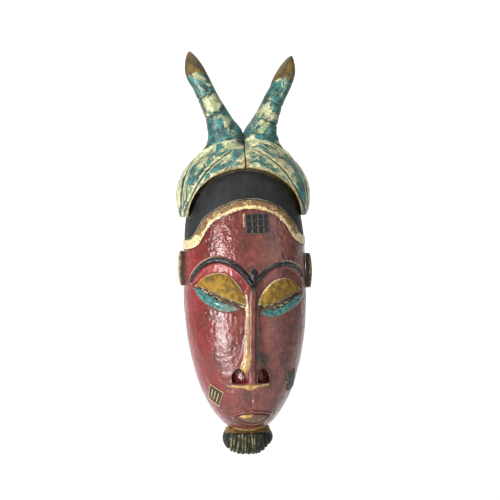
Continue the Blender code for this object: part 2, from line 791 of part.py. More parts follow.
def build_tablet(tablet):
    """A plate with a grid of raised bars inside a plain rim."""
    plate = tablet_plate(tablet)
    across = tablet.half_width - TABLET_RIM
    up = tablet.half_height - TABLET_RIM
    wide = 2 * across / tablet.columns
    tall = 2 * up / tablet.rows
    inset = TABLET_BAR_SPACING / 2
    for column in range(tablet.columns):
        for row in range(tablet.rows):
            x = -across + column * wide
            z = -up + row * tall
            low = (x + inset, -TABLET_PROUD - TABLET_BAR_PROUD, z + inset)
            high = (x + wide - inset, 0, z + tall - inset)
            join(plate, tablet_box(tablet, low, high))
    return dress(plate, tablet.finish)


def oval_outline(centre, half_depth, half_height):
    steps = [2 * math.pi * i / ARC_STEPS for i in range(ARC_STEPS)]
    return [(centre[0] + half_depth * math.cos(a), centre[1] + half_height * math.sin(a)) for a in steps]


def ear_tenon(side, room=0.0):
    middle_y = -EAR_BACK - EAR_HALF_DEPTH
    skin = HEAD.half_width_at(EAR_Z[side])
    low_x = skin - TENON_LENGTH - room
    high_x = skin + EAR_OUT / 2
    ends = sorted((side * low_x, side * high_x))
    deep = TENON_HALF_DEPTH + room
    tall = TENON_HALF_HEIGHT + room
    low = (ends[0], middle_y - deep, EAR_Z[side] - tall)
    return block("tenon", low, (ends[1], middle_y + deep, EAR_Z[side] + tall))


def ear_lug(side, room=0.0, out=0.0):
    """The oval block that an ear is cut from, or the space for one where room is given."""
    centre = (-EAR_BACK - EAR_HALF_DEPTH, EAR_Z[side])
    outline = oval_outline(centre, EAR_HALF_DEPTH + room, EAR_HALF_HEIGHT + room)
    skin = HEAD.half_width_at(EAR_Z[side])
    return prism("lug", outline, side * (skin - EAR_HALF_DEPTH), side * (skin + EAR_OUT + out), along="x")


def ear_room(side):
    """Space for an ear over the skin, which stops a brow that reaches so far."""
    return cut(ear_lug(side, GAP, OVERSHOOT), HEAD.grown(GAP / 2).solid("skin", OVERSHOOT))


def build_ear(name):
    """One ear: an oval lug with a scooped face and a tenon that enters the side of the head."""
    side = SIDES[name]
    outer = HEAD.half_width_at(EAR_Z[side]) + EAR_OUT
    ear = ear_lug(side)
    ear.name = f"ear_{name}"
    bm = bmesh.new()
    bm.from_mesh(ear.data)
    face = [edge for edge in bm.edges if all(abs(v.co.x - side * outer) < 1e-6 for v in edge.verts)]
    rim = [edge for edge in face if edge.calc_face_angle() > 1]
    bmesh.ops.bevel(bm, geom=rim, offset=EAR_RIM, segments=2, profile=0.5, affect="EDGES", material=-1)
    bm.to_mesh(ear.data)
    bm.free()
    scoop = Vector((side * outer, -EAR_BACK - EAR_HALF_DEPTH, EAR_Z[side]))
    sizes = (EAR_SCOOP, EAR_HALF_DEPTH - EAR_RIM, EAR_HALF_HEIGHT - EAR_RIM * 2)
    cut(ear, pebble("scoop", scoop, sizes))
    cut(ear, HEAD.grown(GAP).solid("seat", OVERSHOOT))
    join(ear, ear_tenon(side))
    return dress(ear, "ochre_paint")


def beard_groove(x):
    """A V-shaped groove down the front of the beard, from above its top to where the front turns under."""
    low = BEARD.centre_z - BEARD.drop * 0.97 * reach(x / BEARD_HALF_WIDTH, BEARD_FULLNESS)
    high = CHIN_Z + BEARD_TOP_ABOVE_CHIN + GROOVE_DEPTH
    heights = [low + (high - low) * i / GROOVE_STEPS for i in range(GROOVE_STEPS + 1)]
    return strip("groove", [BEARD.front(x, z) for z in heights], GROOVE_DEPTH, 0)


def build_beard():
    """The black beard, cupped at the top to take the chin and grooved down its front."""
    beard = BEARD.solid("beard")
    top = CHIN_Z + BEARD_TOP_ABOVE_CHIN
    keep(beard, block("below", (-OUTSIDE, AHEAD, CHIN_Z * 2), (OUTSIDE, OVERSHOOT, top)))
    for i in range(BEARD_GROOVES):
        share = (i + 0.5) / BEARD_GROOVES * 2 - 1
        cut(beard, beard_groove(share * (BEARD_HALF_WIDTH - GROOVE_DEPTH)))
    cut(beard, HEAD.grown(GAP).solid("cup", OVERSHOOT))
    for side in SIDES.values():
        cut(beard, beard_dowel(side, GAP, DOWEL_END_ROOM))
    return dress(beard, "black_paint")


# ---------------------------------------------------------------- dowels


def dowel(name, centre, along, length, radius, room, end_room):
    """A dowel, or its hole where room is given."""
    reach_out = Vector(along) * (length / 2 + end_room)
    chamfer = 0.0 if room else DOWEL_CHAMFER
    return rod(name, Vector(centre) - reach_out, Vector(centre) + reach_out, radius + room, chamfer)


def hair_dowel(side, room=0.0, end_room=0.0, name="hole"):
    joint_z = BAND_TOP_Z - HAIR_RADIUS + math.sqrt(HAIR_RADIUS**2 - HAIR_DOWEL_X**2)
    centre = (side * HAIR_DOWEL_X, -HAIR_DOWEL_BACK, joint_z)
    return dowel(name, centre, (0, 0, 1), HAIR_DOWEL_LENGTH, HAIR_DOWEL_RADIUS, room, end_room)


def crest_dowel(side, room=0.0, end_room=0.0, name="hole"):
    joint_z = HEAD.top_at(CREST_DOWEL_X, CREST_DOWEL_BACK)
    centre = (side * CREST_DOWEL_X, -CREST_DOWEL_BACK, joint_z)
    return dowel(name, centre, (0, 0, 1), CREST_DOWEL_LENGTH, CREST_DOWEL_RADIUS, room, end_room)


def seam_dowel(room=0.0, end_room=0.0, name="hole"):
    centre = (0, -SEAM_DOWEL_BACK, CROWN_Z + CREST_TOP_ABOVE_CROWN * 0.75)
    return dowel(name, centre, (1, 0, 0), SEAM_DOWEL_LENGTH, SEAM_DOWEL_RADIUS, room, end_room)


def beard_dowel(side, room=0.0, end_room=0.0, name="hole"):
    centre = (side * BEARD_DOWEL_X, -BEARD_DOWEL_BACK, CHIN_Z)
    return dowel(name, centre, (0, 0, 1), BEARD_DOWEL_LENGTH, BEARD_DOWEL_RADIUS, room, end_room)


# ---------------------------------------------------------------- hanger


def plate_outline(room):
    """The hanger plate: a bar with round ends, in X and Z."""
    end = PLATE_HEIGHT / 2 + room
    flat = PLATE_LENGTH / 2 - PLATE_HEIGHT / 2
    turns = [math.pi * (i / 10 - 0.5) for i in range(11)]
    right = [(flat + end * math.cos(a), PLATE_ABOVE_ORIGIN + end * math.sin(a)) for a in turns]
    left = [(-x, 2 * PLATE_ABOVE_ORIGIN - z) for x, z in right]
    return right + left


def keyhole_outline(room=0.0):
    """The keyhole: a round hole for the nail's head, and a slot above it for the nail."""
    radius = KEYHOLE_RADIUS + room
    slot = KEYHOLE_SLOT + room
    low_z = PLATE_ABOVE_ORIGIN - KEYHOLE_RISE / 2
    open_angle = math.asin(slot / radius)
    sweep = [math.pi / 2 + open_angle + (2 * math.pi - 2 * open_angle) * i / 20 for i in range(21)]
    hole = [(radius * math.cos(a), low_z + radius * math.sin(a)) for a in sweep]
    turns = [math.pi * i / 8 for i in range(9)]
    return hole + [(slot * math.cos(a), low_z + KEYHOLE_RISE + slot * math.sin(a)) for a in turns]


def screw_hole(side):
    """The hole for a screw in the wood, past the floor of the recess."""
    x = side * SCREW_X
    end = -PLATE_RECESS - SCREW_LENGTH - DOWEL_END_ROOM
    return rod("pilot", (x, OVERSHOOT, PLATE_ABOVE_ORIGIN), (x, end, PLATE_ABOVE_ORIGIN), SCREW_RADIUS + GAP)


def build_plate():
    """The steel hanger plate, with a keyhole between two screw holes."""
    inner = -PLATE_RECESS + GAP
    outline = plate_outline(0)
    plate = prism("hanger_plate", outline, inner, inner + PLATE_THICKNESS)
    cut(plate, prism("keyhole", keyhole_outline(), -PLATE_RECESS - OVERSHOOT, OVERSHOOT))
    for side in SIDES.values():
        x = side * SCREW_X
        ends = ((x, -OVERSHOOT, PLATE_ABOVE_ORIGIN), (x, OVERSHOOT, PLATE_ABOVE_ORIGIN))
        cut(plate, rod("hole", *ends, SCREW_RADIUS + GAP))
    return dress(plate, "zinc_steel")


def build_screw(name):
    """A round-head wood screw, spun from its profile, with a slot across the head."""
    seat = -PLATE_RECESS + PLATE_THICKNESS + 2 * GAP
    x = SIDES[name] * SCREW_X
    dome = [math.pi / 2 * i / 4 for i in range(5)]
    profile = [
        (SCREW_HEAD_RADIUS * math.cos(a), seat + SCREW_HEAD_HEIGHT * math.sin(a)) for a in dome
    ]
    point = seat - SCREW_LENGTH
    shoulder = point + SCREW_RADIUS * 2
    shank = [(0.0, point), (SCREW_RADIUS, shoulder), (SCREW_RADIUS, seat)]
    profile = [*shank, *profile[:-1], (0.0, profile[-1][1])]
    bm = bmesh.new()
    verts = [bm.verts.new((x + r, y, PLATE_ABOVE_ORIGIN)) for r, y in profile]
    edges = [bm.edges.new(pair) for pair in zip(verts, verts[1:])]
    bmesh.ops.spin(
        bm,
        geom=verts + edges,
        cent=(x, 0, PLATE_ABOVE_ORIGIN),
        axis=(0, 1, 0),
        angle=2 * math.pi,
        steps=DOWEL_SIDES,
        use_merge=True,
    )
    bmesh.ops.remove_doubles(bm, verts=bm.verts[:], dist=1e-6)
    screw = finish_mesh(bm, f"hanger_screw_{name}")
    low = (x - SCREW_SLOT / 2, seat + SCREW_HEAD_HEIGHT / 2, PLATE_ABOVE_ORIGIN - PLATE_HEIGHT)
    high = (x + SCREW_SLOT / 2, OVERSHOOT, PLATE_ABOVE_ORIGIN + PLATE_HEIGHT)
    cut(screw, block("slot", low, high))
    return dress(screw, "zinc_steel")


# ---------------------------------------------------------------- the mask


def build_mask():
    for obj in list(bpy.data.objects):
        bpy.data.objects.remove(obj, do_unlink=True)
    build_face()
    build_hair()
    build_band()
    build_beard()
    build_plate()
    dress(seam_dowel(name="crest_seam_dowel"), "bare_wood")
    for tablet in TABLETS:
        build_tablet(tablet)
    for name, side in SIDES.items():
        build_crest(name)
        build_ear(name)
        build_screw(name)
        dress(hair_dowel(side, name=f"hair_dowel_{name}"), "bare_wood")
        dress(crest_dowel(side, name=f"crest_dowel_{name}"), "bare_wood")
        dress(beard_dowel(side, name=f"beard_dowel_{name}"), "bare_wood")


build_mask()
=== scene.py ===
import math

import bmesh
import bpy
import numpy as np
from bpy.props import FloatProperty, FloatVectorProperty, PointerProperty
from mathutils import Matrix, Vector, noise


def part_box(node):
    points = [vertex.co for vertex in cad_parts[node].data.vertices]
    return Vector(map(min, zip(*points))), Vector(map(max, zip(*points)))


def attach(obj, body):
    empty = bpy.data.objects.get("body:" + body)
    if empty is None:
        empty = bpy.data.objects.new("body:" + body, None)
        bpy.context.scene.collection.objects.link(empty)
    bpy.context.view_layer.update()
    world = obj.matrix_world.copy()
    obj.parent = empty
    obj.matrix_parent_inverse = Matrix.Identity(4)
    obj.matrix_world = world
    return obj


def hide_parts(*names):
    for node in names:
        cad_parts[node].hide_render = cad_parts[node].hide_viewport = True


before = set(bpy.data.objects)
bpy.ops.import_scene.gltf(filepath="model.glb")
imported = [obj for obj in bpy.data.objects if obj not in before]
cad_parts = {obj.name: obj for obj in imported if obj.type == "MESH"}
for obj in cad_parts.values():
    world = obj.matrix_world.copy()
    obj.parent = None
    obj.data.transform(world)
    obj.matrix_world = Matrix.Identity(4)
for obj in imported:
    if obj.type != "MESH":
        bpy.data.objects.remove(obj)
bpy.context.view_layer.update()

bl_info = {
    "name": "Carved Horned Mask",
    "version": (1, 0, 0),
    "blender": (4, 5, 0),
    "location": "View3D > Sidebar > Mask",
    "description": "Carves and paints a horned wall mask in wood, piece by piece",
    "category": "Add Mesh",
}

MM = 0.001
SIDES = (("left", -1), ("right", 1))


def box_mm(name):
    """Lowest and highest corner of a piece of the frame, in millimetres."""
    low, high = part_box(name)
    return np.array(low) * 1000, np.array(high) * 1000


FACE_LOW, FACE_HIGH = box_mm("face_shell")
BEARD_LOW, BEARD_HIGH = box_mm("beard")
CREST_LOW = box_mm("crest_left")[0]
PLATE_HEIGHT = sum(corner[2] for corner in box_mm("hanger_plate")) / 2
CHIN = FACE_LOW[2]
CROWN = box_mm("hair_cap")[1][2]
# How square the head is in section: 2 would be an oval.
SECTION = 2.2
# A mark this low, in millimetres, means that no paint reaches the place.
UNMARKED = -9.0
# Cutters and seats reach this far behind the wall plane.
BEHIND = 6
# Heights where the grid of the face ends and where that of the hair starts, before the hairline bends them.
FACE_TOP = -14
HAIR_FOOT = -15
# Height from which the rows of the face begin to follow the hairline.
BROW_LINE = -62
# Columns of the grid over the face, and over the hair and the beard.
FACE_COLUMNS = 244
FORM_COLUMNS = 150
# Sizes of the even skin that the crest and the ears are melted into.
CREST_SKIN = 0.75
EAR_SKIN = 0.6
# The halves of the crest stand this far from the middle line.
SEAM = 0.15
# The ears stand this much less forward than their boxes.
EAR_SETBACK = 8.0


# ------------------------------------------------------------------ outlines, in millimetres across and up


def smooth_line(points, steps=8):
    """A smooth line through the points. Any numbers after the first two run smoothly with it."""
    points = np.array(points, float)
    padded = np.vstack([2 * points[0] - points[1], points, 2 * points[-1] - points[-2]])
    made = []
    for before, start, end, after in zip(padded, padded[1:], padded[2:], padded[3:]):
        for t in (step / steps for step in range(steps)):
            bend = 2 * start + (end - before) * t + (2 * before - 5 * start + 4 * end - after) * t**2
            made.append(0.5 * (bend + (3 * start - before - 3 * end + after) * t**3))
    return np.vstack([made, points[-1]])


def to_line(x, z, line):
    """Distance to a line of points, the share along it of the nearest place, and the side it is on."""
    near, along, side = np.full(x.shape, 1e9), np.zeros(x.shape), np.ones(x.shape)
    runs = np.hypot(np.diff(line[:, 0]), np.diff(line[:, 1]))
    total = runs.sum()
    passed = 0.0
    for start, end, run in zip(line, line[1:], runs):
        across, up = end[0] - start[0], end[1] - start[1]
        t = np.clip(((x - start[0]) * across + (z - start[1]) * up) / max(run**2, 1e-9), 0, 1)
        away = np.hypot(x - start[0] - t * across, z - start[1] - t * up)
        closer = away < near
        near = np.where(closer, away, near)
        along = np.where(closer, (passed + t * run) / total, along)
        side = np.where(closer, np.sign(across * (z - start[1]) - up * (x - start[0])), side)
        passed += run
    return near, along, side


def inside_depth(x, z, outline):
    """How far inside a closed outline each place is. It is negative outside."""
    closed = np.vstack([outline, outline[:1]])
    near = to_line(x, z, closed)[0]
    crossings = np.zeros(x.shape, int)
    for start, end in zip(closed, closed[1:]):
        spans = (start[1] > z) != (end[1] > z)
        rise = end[1] - start[1]
        at = start[0] + (z - start[1]) / (rise if abs(rise) > 1e-9 else 1e-9) * (end[0] - start[0])
        crossings += spans & (x < at)
    return np.where(crossings % 2 == 1, near, -near)


def ease(value, low, high):
    """0 below low, 1 above high, and a smooth rise between."""
    t = np.clip((value - low) / (high - low), 0, 1)
    return t * t * (3 - 2 * t)


def hump(distance, width):
    """A rounded rise, 1 in the middle and 0 from width outward."""
    return np.where(distance < width, 0.5 + 0.5 * np.cos(np.pi * np.clip(distance / width, 0, 1)), 0)


def signed_power(value, power):
    return np.sign(value) * np.abs(value) ** power


def along_line(share, line, column):
    """The value in one column of a line at each share along it."""
    runs = np.concatenate([[0], np.cumsum(np.hypot(np.diff(line[:, 0]), np.diff(line[:, 1])))])
    return np.interp(share, runs / runs[-1], line[:, column])


# Each brow is a line of places with its width there.
BROWS = {
    "left": smooth_line([
        (-54.4, -91, 1.6), (-52.8, -84.5, 3.6), (-45.8, -75.6, 4.8), (-37.5, -70.6, 5.6), (-30, -69.4, 6),
        (-22.2, -70.8, 6.3), (-14, -74.9, 6.4), (-6.8, -80.9, 6.2), (-0.8, -88.4, 5.8), (3.6, -95.4, 4.6),
    ]),
    "right": smooth_line([
        (54.3, -88, 1.6), (51.3, -80.4, 3.6), (45.6, -76, 4.8), (39, -74.4, 5.2), (31.2, -74.6, 5),
        (23, -77.2, 5), (15.6, -82, 5.3), (10, -88.4, 5.2), (6.4, -93.4, 4.8), (4.2, -97.4, 4.2),
    ]),
}
LIDS = {
    "left": smooth_line([
        (-51.6, -94.4), (-47.1, -88.5), (-41.3, -84.5), (-34.4, -82.4), (-28.2, -81.8), (-21.5, -83.4),
        (-15, -88.2), (-9.2, -95.6), (-5.4, -103.4), (-3.4, -113.9), (-7.8, -112.9), (-13.7, -110.2),
        (-21.6, -107.2), (-29.9, -103.2), (-36.9, -100), (-44.5, -96.9), (-51.6, -94.4),
    ], 4)[:-1],
    "right": smooth_line([
        (8.9, -113.6), (10, -109.4), (12.7, -103.8), (18.8, -96.5), (25, -91.2), (32.6, -88.5),
        (40.3, -88.6), (47.5, -92.3), (53.4, -100.6), (46.8, -103.6), (41.4, -106), (32.7, -109.6),
        (22.5, -113.2), (14.5, -115), (8.9, -113.6),
    ], 4)[:-1],
}
SLITS = {
    "left": smooth_line([(-47.6, -97.4), (-37.8, -103.6), (-28.2, -108.8), (-15, -113.8)]),
    "right": smooth_line([(12.4, -118), (26.4, -116.9), (38.4, -112.4), (50.2, -106)]),
}
UNDER_EYES = {
    "left": smooth_line([
        (-52.4, -95.6), (-48.6, -103.5), (-41, -111.6), (-31.1, -117.4), (-20.6, -120), (-8.6, -117.9),
    ]),
    "right": smooth_line([
        (11.4, -121.4), (20.2, -125.2), (30, -124.2), (40.4, -119.2), (50.4, -112.4), (55.8, -105),
    ]),
}
BUD = smooth_line([
    (4.4, -77.6), (0.9, -81.6), (2.6, -86), (4.8, -90.5), (6.8, -86), (8.6, -81.8), (4.4, -77.6),
], 5)[:-1]
NOSE = smooth_line([(4, -96.5), (2.6, -116), (1.7, -146), (1, -171), (0.6, -190)])
NOSTRILS = {
    "left": smooth_line([
        (-18.2, -190.2), (-18.4, -182.6), (-15.2, -176.8), (-11, -174.4), (-6.4, -177.4), (-4.2, -183.4),
        (-4, -190.2), (-18.2, -190.2),
    ], 5)[:-1],
    "right": smooth_line([
        (6.8, -190.2), (6.6, -183.2), (8.4, -177.2), (11.8, -174.8), (15.8, -176.4), (18.6, -182.4),
        (18.4, -190.2), (6.8, -190.2),
    ], 5)[:-1],
}
MOUTH = smooth_line([
    (-18.4, -223.6), (-13.6, -220.4), (-7, -218.7), (-1.2, -218.6), (1.9, -217.2), (5, -218.8),
    (13.8, -219.3), (21.6, -221.8), (18.6, -227), (13, -231.2), (4.2, -233.3), (-4.8, -231.8),
    (-12.7, -228.2), (-18.4, -223.6),
], 4)[:-1]
# The headband: its middle line and its half width.
BAND = smooth_line([
    (-63.5, -53.4, 4.6), (-57, -53.4, 4.6), (-51.6, -51.6, 4.3), (-47.4, -46.4, 3.9), (-43, -39, 3.8),
    (-37.6, -31.2, 4.2), (-28, -24.6, 4.5), (-16, -19.4, 4.6), (-4, -16.2, 4.6), (9, -15.9, 4.6),
    (20.5, -18.8, 4.5), (30.5, -23.6, 4.3), (38.4, -30.2, 4.1), (44.6, -38, 4), (49.2, -45.4, 4),
    (54, -49.4, 4.3), (58.5, -50.6, 4.6), (63.5, -50.6, 4.6),
], 10)


def hairline(x):
    """Height of the band's middle line over each place across the head."""
    order = np.argsort(BAND[:, 0])
    return np.interp(x, BAND[order, 0], BAND[order, 1])


# ------------------------------------------------------------------ forms


class Oval:
    """A domed form with its flat back on the wall plane. Sizes in millimetres."""

    def __init__(self, centre, half_width, rise, drop, depth, upper, lower, profile=3.0):
        self.centre, self.half_width, self.rise, self.drop = centre, half_width, rise, drop
        self.depth, self.upper, self.lower, self.profile = depth, upper, lower, profile

    def grown(self, by):
        sizes = [size + by for size in (self.half_width, self.rise, self.drop, self.depth)]
        return Oval(self.centre, *sizes, self.upper, self.lower, self.profile)

    def share(self, z):
        height = np.asarray(z, float) - self.centre
        return np.clip(np.where(height > 0, height / self.rise, height / self.drop), -1, 1)

    def half(self, z):
        share = self.share(z)
        power = np.where(share > 0, self.upper, self.lower)
        return self.half_width * (1 - np.abs(share) ** power) ** (1 / power)

    def ahead(self, z):
        return self.depth * (1 - np.abs(self.share(z)) ** self.profile) ** (1 / self.profile)

    def front(self, x, z):
        across = np.clip(np.abs(x) / np.maximum(self.half(z), 1e-6), 0, 1)
        return -self.ahead(z) * (1 - across**SECTION) ** (1 / SECTION)


HEAD_CENTRE = (CROWN + CHIN) / 2
HEAD = Oval(HEAD_CENTRE, FACE_HIGH[0], CROWN - HEAD_CENTRE, HEAD_CENTRE - CHIN, FACE_HIGH[0], 2.8, 2.05)
CAVITY = Oval(HEAD_CENTRE, 50.0, 73.9, 118.0, 50.0, 2.5, 2.05)
CREST = Oval(CROWN - 45, -CREST_LOW[0], 56.0, 63.0, -CREST_LOW[1] + 5.0, 2.0, 2.0, 2.5)
BEARD = Oval(CHIN - 3, BEARD_HIGH[0], 36.0, CHIN - 3 - BEARD_LOW[2], -BEARD_LOW[1], 2.6, 2.6)


def read(items, field):
    flat = np.empty(len(items) * 3, np.float32)
    items.foreach_get(field, flat)
    return flat.reshape(-1, 3).astype(float)


def get_points(mesh):
    return read(mesh.vertices, "co") * 1000


def get_normals(mesh):
    return read(mesh.vertex_normals, "vector")


def set_points(mesh, points):
    mesh.vertices.foreach_set("co", (points * MM).astype(np.float32).ravel())
    mesh.update()


def lift_points(mesh, points, lift):
    """Moves points out along their normals."""
    set_points(mesh, points + get_normals(mesh) * lift[:, None])


def mark(mesh, name, values):
    """Stores a number at every point, for the paint to read."""
    layer = mesh.attributes.get(name) or mesh.attributes.new(name, "FLOAT", "POINT")
    layer.data.foreach_set("value", np.asarray(values, np.float32))


def wander(points, size, seed):
    """Slow uneven waves over the points, from -1 to 1."""
    shift = Vector((seed * 7.3, seed * 3.1, seed * 5.7))
    return np.array([noise.noise(Vector(p) / size + shift) for p in points])


def mark_edges(mesh, smoothing=2):
    """Marks how far each point stands out of its neighbours: high on an arris and low in a crease."""
    points = get_points(mesh)
    normals = get_normals(mesh)
    pairs = np.empty(len(mesh.edges) * 2, np.int32)
    mesh.edges.foreach_get("vertices", pairs)
    a, b = pairs.reshape(-1, 2).T
    count = np.bincount(a, minlength=len(points)) + np.bincount(b, minlength=len(points))
    count = np.maximum(count, 1)

    def spread(values):
        total = np.bincount(a, values[b], len(points)) + np.bincount(b, values[a], len(points))
        return total / count

    runs = np.linalg.norm(points[a] - points[b], axis=1)
    reach = (np.bincount(a, runs, len(points)) + np.bincount(b, runs, len(points))) / count
    middle = np.stack([spread(points[:, i]) for i in range(3)], 1)
    out = ((points - middle) * normals).sum(1) / np.maximum(reach, 1e-3) ** 2
    for _ in range(smoothing):
        out = 0.5 * out + 0.5 * spread(out)
    mark(mesh, "edge", np.clip(out, -2, 2))


def new_object(name, mesh):
    mesh.name = name
    obj = bpy.data.objects.new(name, mesh)
    bpy.context.scene.collection.objects.link(obj)
    return obj


def mesh_of(bm, name, outward=True):
    if outward:
        bmesh.ops.recalc_face_normals(bm, faces=bm.faces[:])
    mesh = bpy.data.meshes.new(name)
    bm.to_mesh(mesh)
    bm.free()
    return mesh


def grid(name, columns, rows):
    """A flat grid from -1 to 1 both ways, and its points."""
    bm = bmesh.new()
    bmesh.ops.create_grid(bm, x_segments=columns, y_segments=rows, size=1)
    mesh = mesh_of(bm, name, outward=False)
    return mesh, get_points(mesh) / 1000


def sheet(name, oval, levels, warp, columns):
    """The front of a domed form as a fine grid. warp moves a level up or down across the form."""
    mesh, flat = grid(name, columns, len(levels) - 1)
    turn = flat[:, 0] * np.pi / 2 * (0.86 + 0.14 * flat[:, 0] ** 2)
    row = np.rint((flat[:, 1] + 1) / 2 * (len(levels) - 1)).astype(int)
    level = np.asarray(levels)[row]
    across = signed_power(np.sin(turn), 2 / SECTION)
    z = level
    for _ in range(5):
        z = warp(level, oval.half(z) * across)
    points = np.stack([oval.half(z) * across, -oval.ahead(z) * np.abs(np.cos(turn)) ** (2 / SECTION), z], 1)
    points[np.abs(flat[:, 0]) > 0.9999, 1] = 0
    set_points(mesh, points)
    if get_normals(mesh)[len(points) // 2 + columns // 2][1] > 0:
        mesh.flip_normals()
    return mesh


def open_edges(bm):
    return [e for e in bm.edges if e.is_boundary]


def close_to_wall(mesh):
    """Carries the open edges of a sheet back to the wall plane. Returns it with the faces of its skin."""
    bm = bmesh.new()
    bm.from_mesh(mesh)
    away = [e for e in open_edges(bm) if any(abs(v.co.y) > 1e-6 for v in e.verts)]
    for part in bmesh.ops.extrude_edge_only(bm, edges=away)["geom"]:
        if isinstance(part, bmesh.types.BMVert):
            part.co.y = 0
    rim = [v for v in bm.verts if v.is_boundary and abs(v.co.y) < 1e-6]
    bmesh.ops.remove_doubles(bm, verts=rim, dist=1e-5)
    flat = [f for f in bm.faces if f.calc_area() < 1e-13]
    bmesh.ops.delete(bm, geom=flat, context="FACES_ONLY")
    return bm, set(bm.faces)


def push(bm, faces, far):
    """Extrudes faces straight back by a distance in millimetres."""
    made = bmesh.ops.extrude_face_region(bm, geom=faces)["geom"]
    ends = [part for part in made if isinstance(part, bmesh.types.BMVert)]
    bmesh.ops.translate(bm, verts=ends, vec=(0, far * MM, 0))


def solid(name, bm):
    """A closed object of triangles."""
    bmesh.ops.triangulate(bm, faces=bm.faces[:])
    return new_object(name, mesh_of(bm, name))


def bowl(bm, oval, columns=96, rows=72):
    """Adds the inside of a hollow, open at the wall plane, and returns its open edges."""
    made = bmesh.ops.create_uvsphere(bm, u_segments=columns, v_segments=rows, radius=1)["verts"]
    kept = [v for v in made if v.co.y <= 1e-4]
    bmesh.ops.delete(bm, geom=[v for v in made if v.co.y > 1e-4], context="VERTS")
    for v in kept:
        power = oval.upper if v.co.z > 0 else oval.lower
        share = math.copysign(min(1, abs(v.co.z)) ** (2 / power), v.co.z)
        z = oval.centre + share * (oval.rise if v.co.z > 0 else oval.drop)
        ring = math.hypot(v.co.x, v.co.y)
        if ring < 1e-6:
            v.co = Vector((0, 0, z)) * MM
            continue
        x = math.copysign(abs(v.co.x / ring) ** (2 / SECTION), v.co.x) * oval.half_width * ring ** (2 / power)
        y = -(abs(v.co.y / ring) ** (2 / SECTION)) * float(oval.ahead(z)) if v.co.y < -1e-6 else 0
        v.co = Vector((x, y, z)) * MM
    return list({e for v in kept for e in v.link_edges if e.is_boundary})


def solid_oval(name, oval, behind=0):
    """A closed domed form, whose back can be carried past the wall plane."""
    bm = bmesh.new()
    face = bmesh.ops.contextual_create(bm, geom=bowl(bm, oval, 90, 64))["faces"]
    if behind:
        push(bm, face, behind)
        bmesh.ops.delete(bm, geom=face, context="FACES_ONLY")
    return solid(name, bm)


def prism(name, outline, near, far):
    """An outline, in millimetres across and up, pushed through from near to far."""
    bm = bmesh.new()
    face = bm.faces.new([bm.verts.new((x * MM, near * MM, z * MM)) for x, z in outline])
    push(bm, [face], far - near)
    return solid(name, bm)


def modify(obj, kind, **settings):
    """Applies one modifier to an object."""
    modifier = obj.modifiers.new(kind.lower(), kind)
    for name, value in settings.items():
        setattr(modifier, name, value)
    bpy.context.view_layer.update()
    graph = bpy.context.evaluated_depsgraph_get()
    shaped = bpy.data.meshes.new_from_object(obj.evaluated_get(graph))
    obj.modifiers.clear()
    obj.data = shaped
    if not shaped.polygons:
        raise RuntimeError(f"{obj.name}: nothing is left after {kind.lower()}")


def boolean(obj, tool, operation="DIFFERENCE"):
    """Cuts or joins obj with the tool, and removes the tool."""
    modify(obj, "BOOLEAN", operation=operation, object=tool, solver="EXACT")
    bpy.data.objects.remove(tool, do_unlink=True)


def melt(obj, skin, steps):
    """Melts everything in obj into one even skin and relaxes it."""
    modify(obj, "REMESH", mode="VOXEL", voxel_size=skin * MM, use_smooth_shade=True)
    modify(obj, "SMOOTH", factor=0.5, iterations=steps)


def soften(obj, places):
    """Smooths the skin around places, each a middle, a reach and a number of steps, in millimetres."""
    for place, reach, steps in places:
        share = 1 - ease(np.linalg.norm(get_points(obj.data) - place, axis=1), reach * 0.7, reach)
        group = obj.vertex_groups.new(name="soften")
        for index in np.nonzero(share > 0.01)[0]:
            group.add([int(index)], float(share[index]), "REPLACE")
        modify(obj, "SMOOTH", factor=0.9, iterations=steps, vertex_group="soften")
        obj.vertex_groups.clear()


def finish_piece(obj, node, slot, *materials):
    """Gives a piece its materials and its place in the frame. The slot is not used."""
    for material in materials:
        obj.data.materials.append(material)
    obj.data.name = obj.name
    obj.data.shade_smooth()
    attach(obj, "root")
    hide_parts(node)
    return [obj]


# ------------------------------------------------------------------ shader building


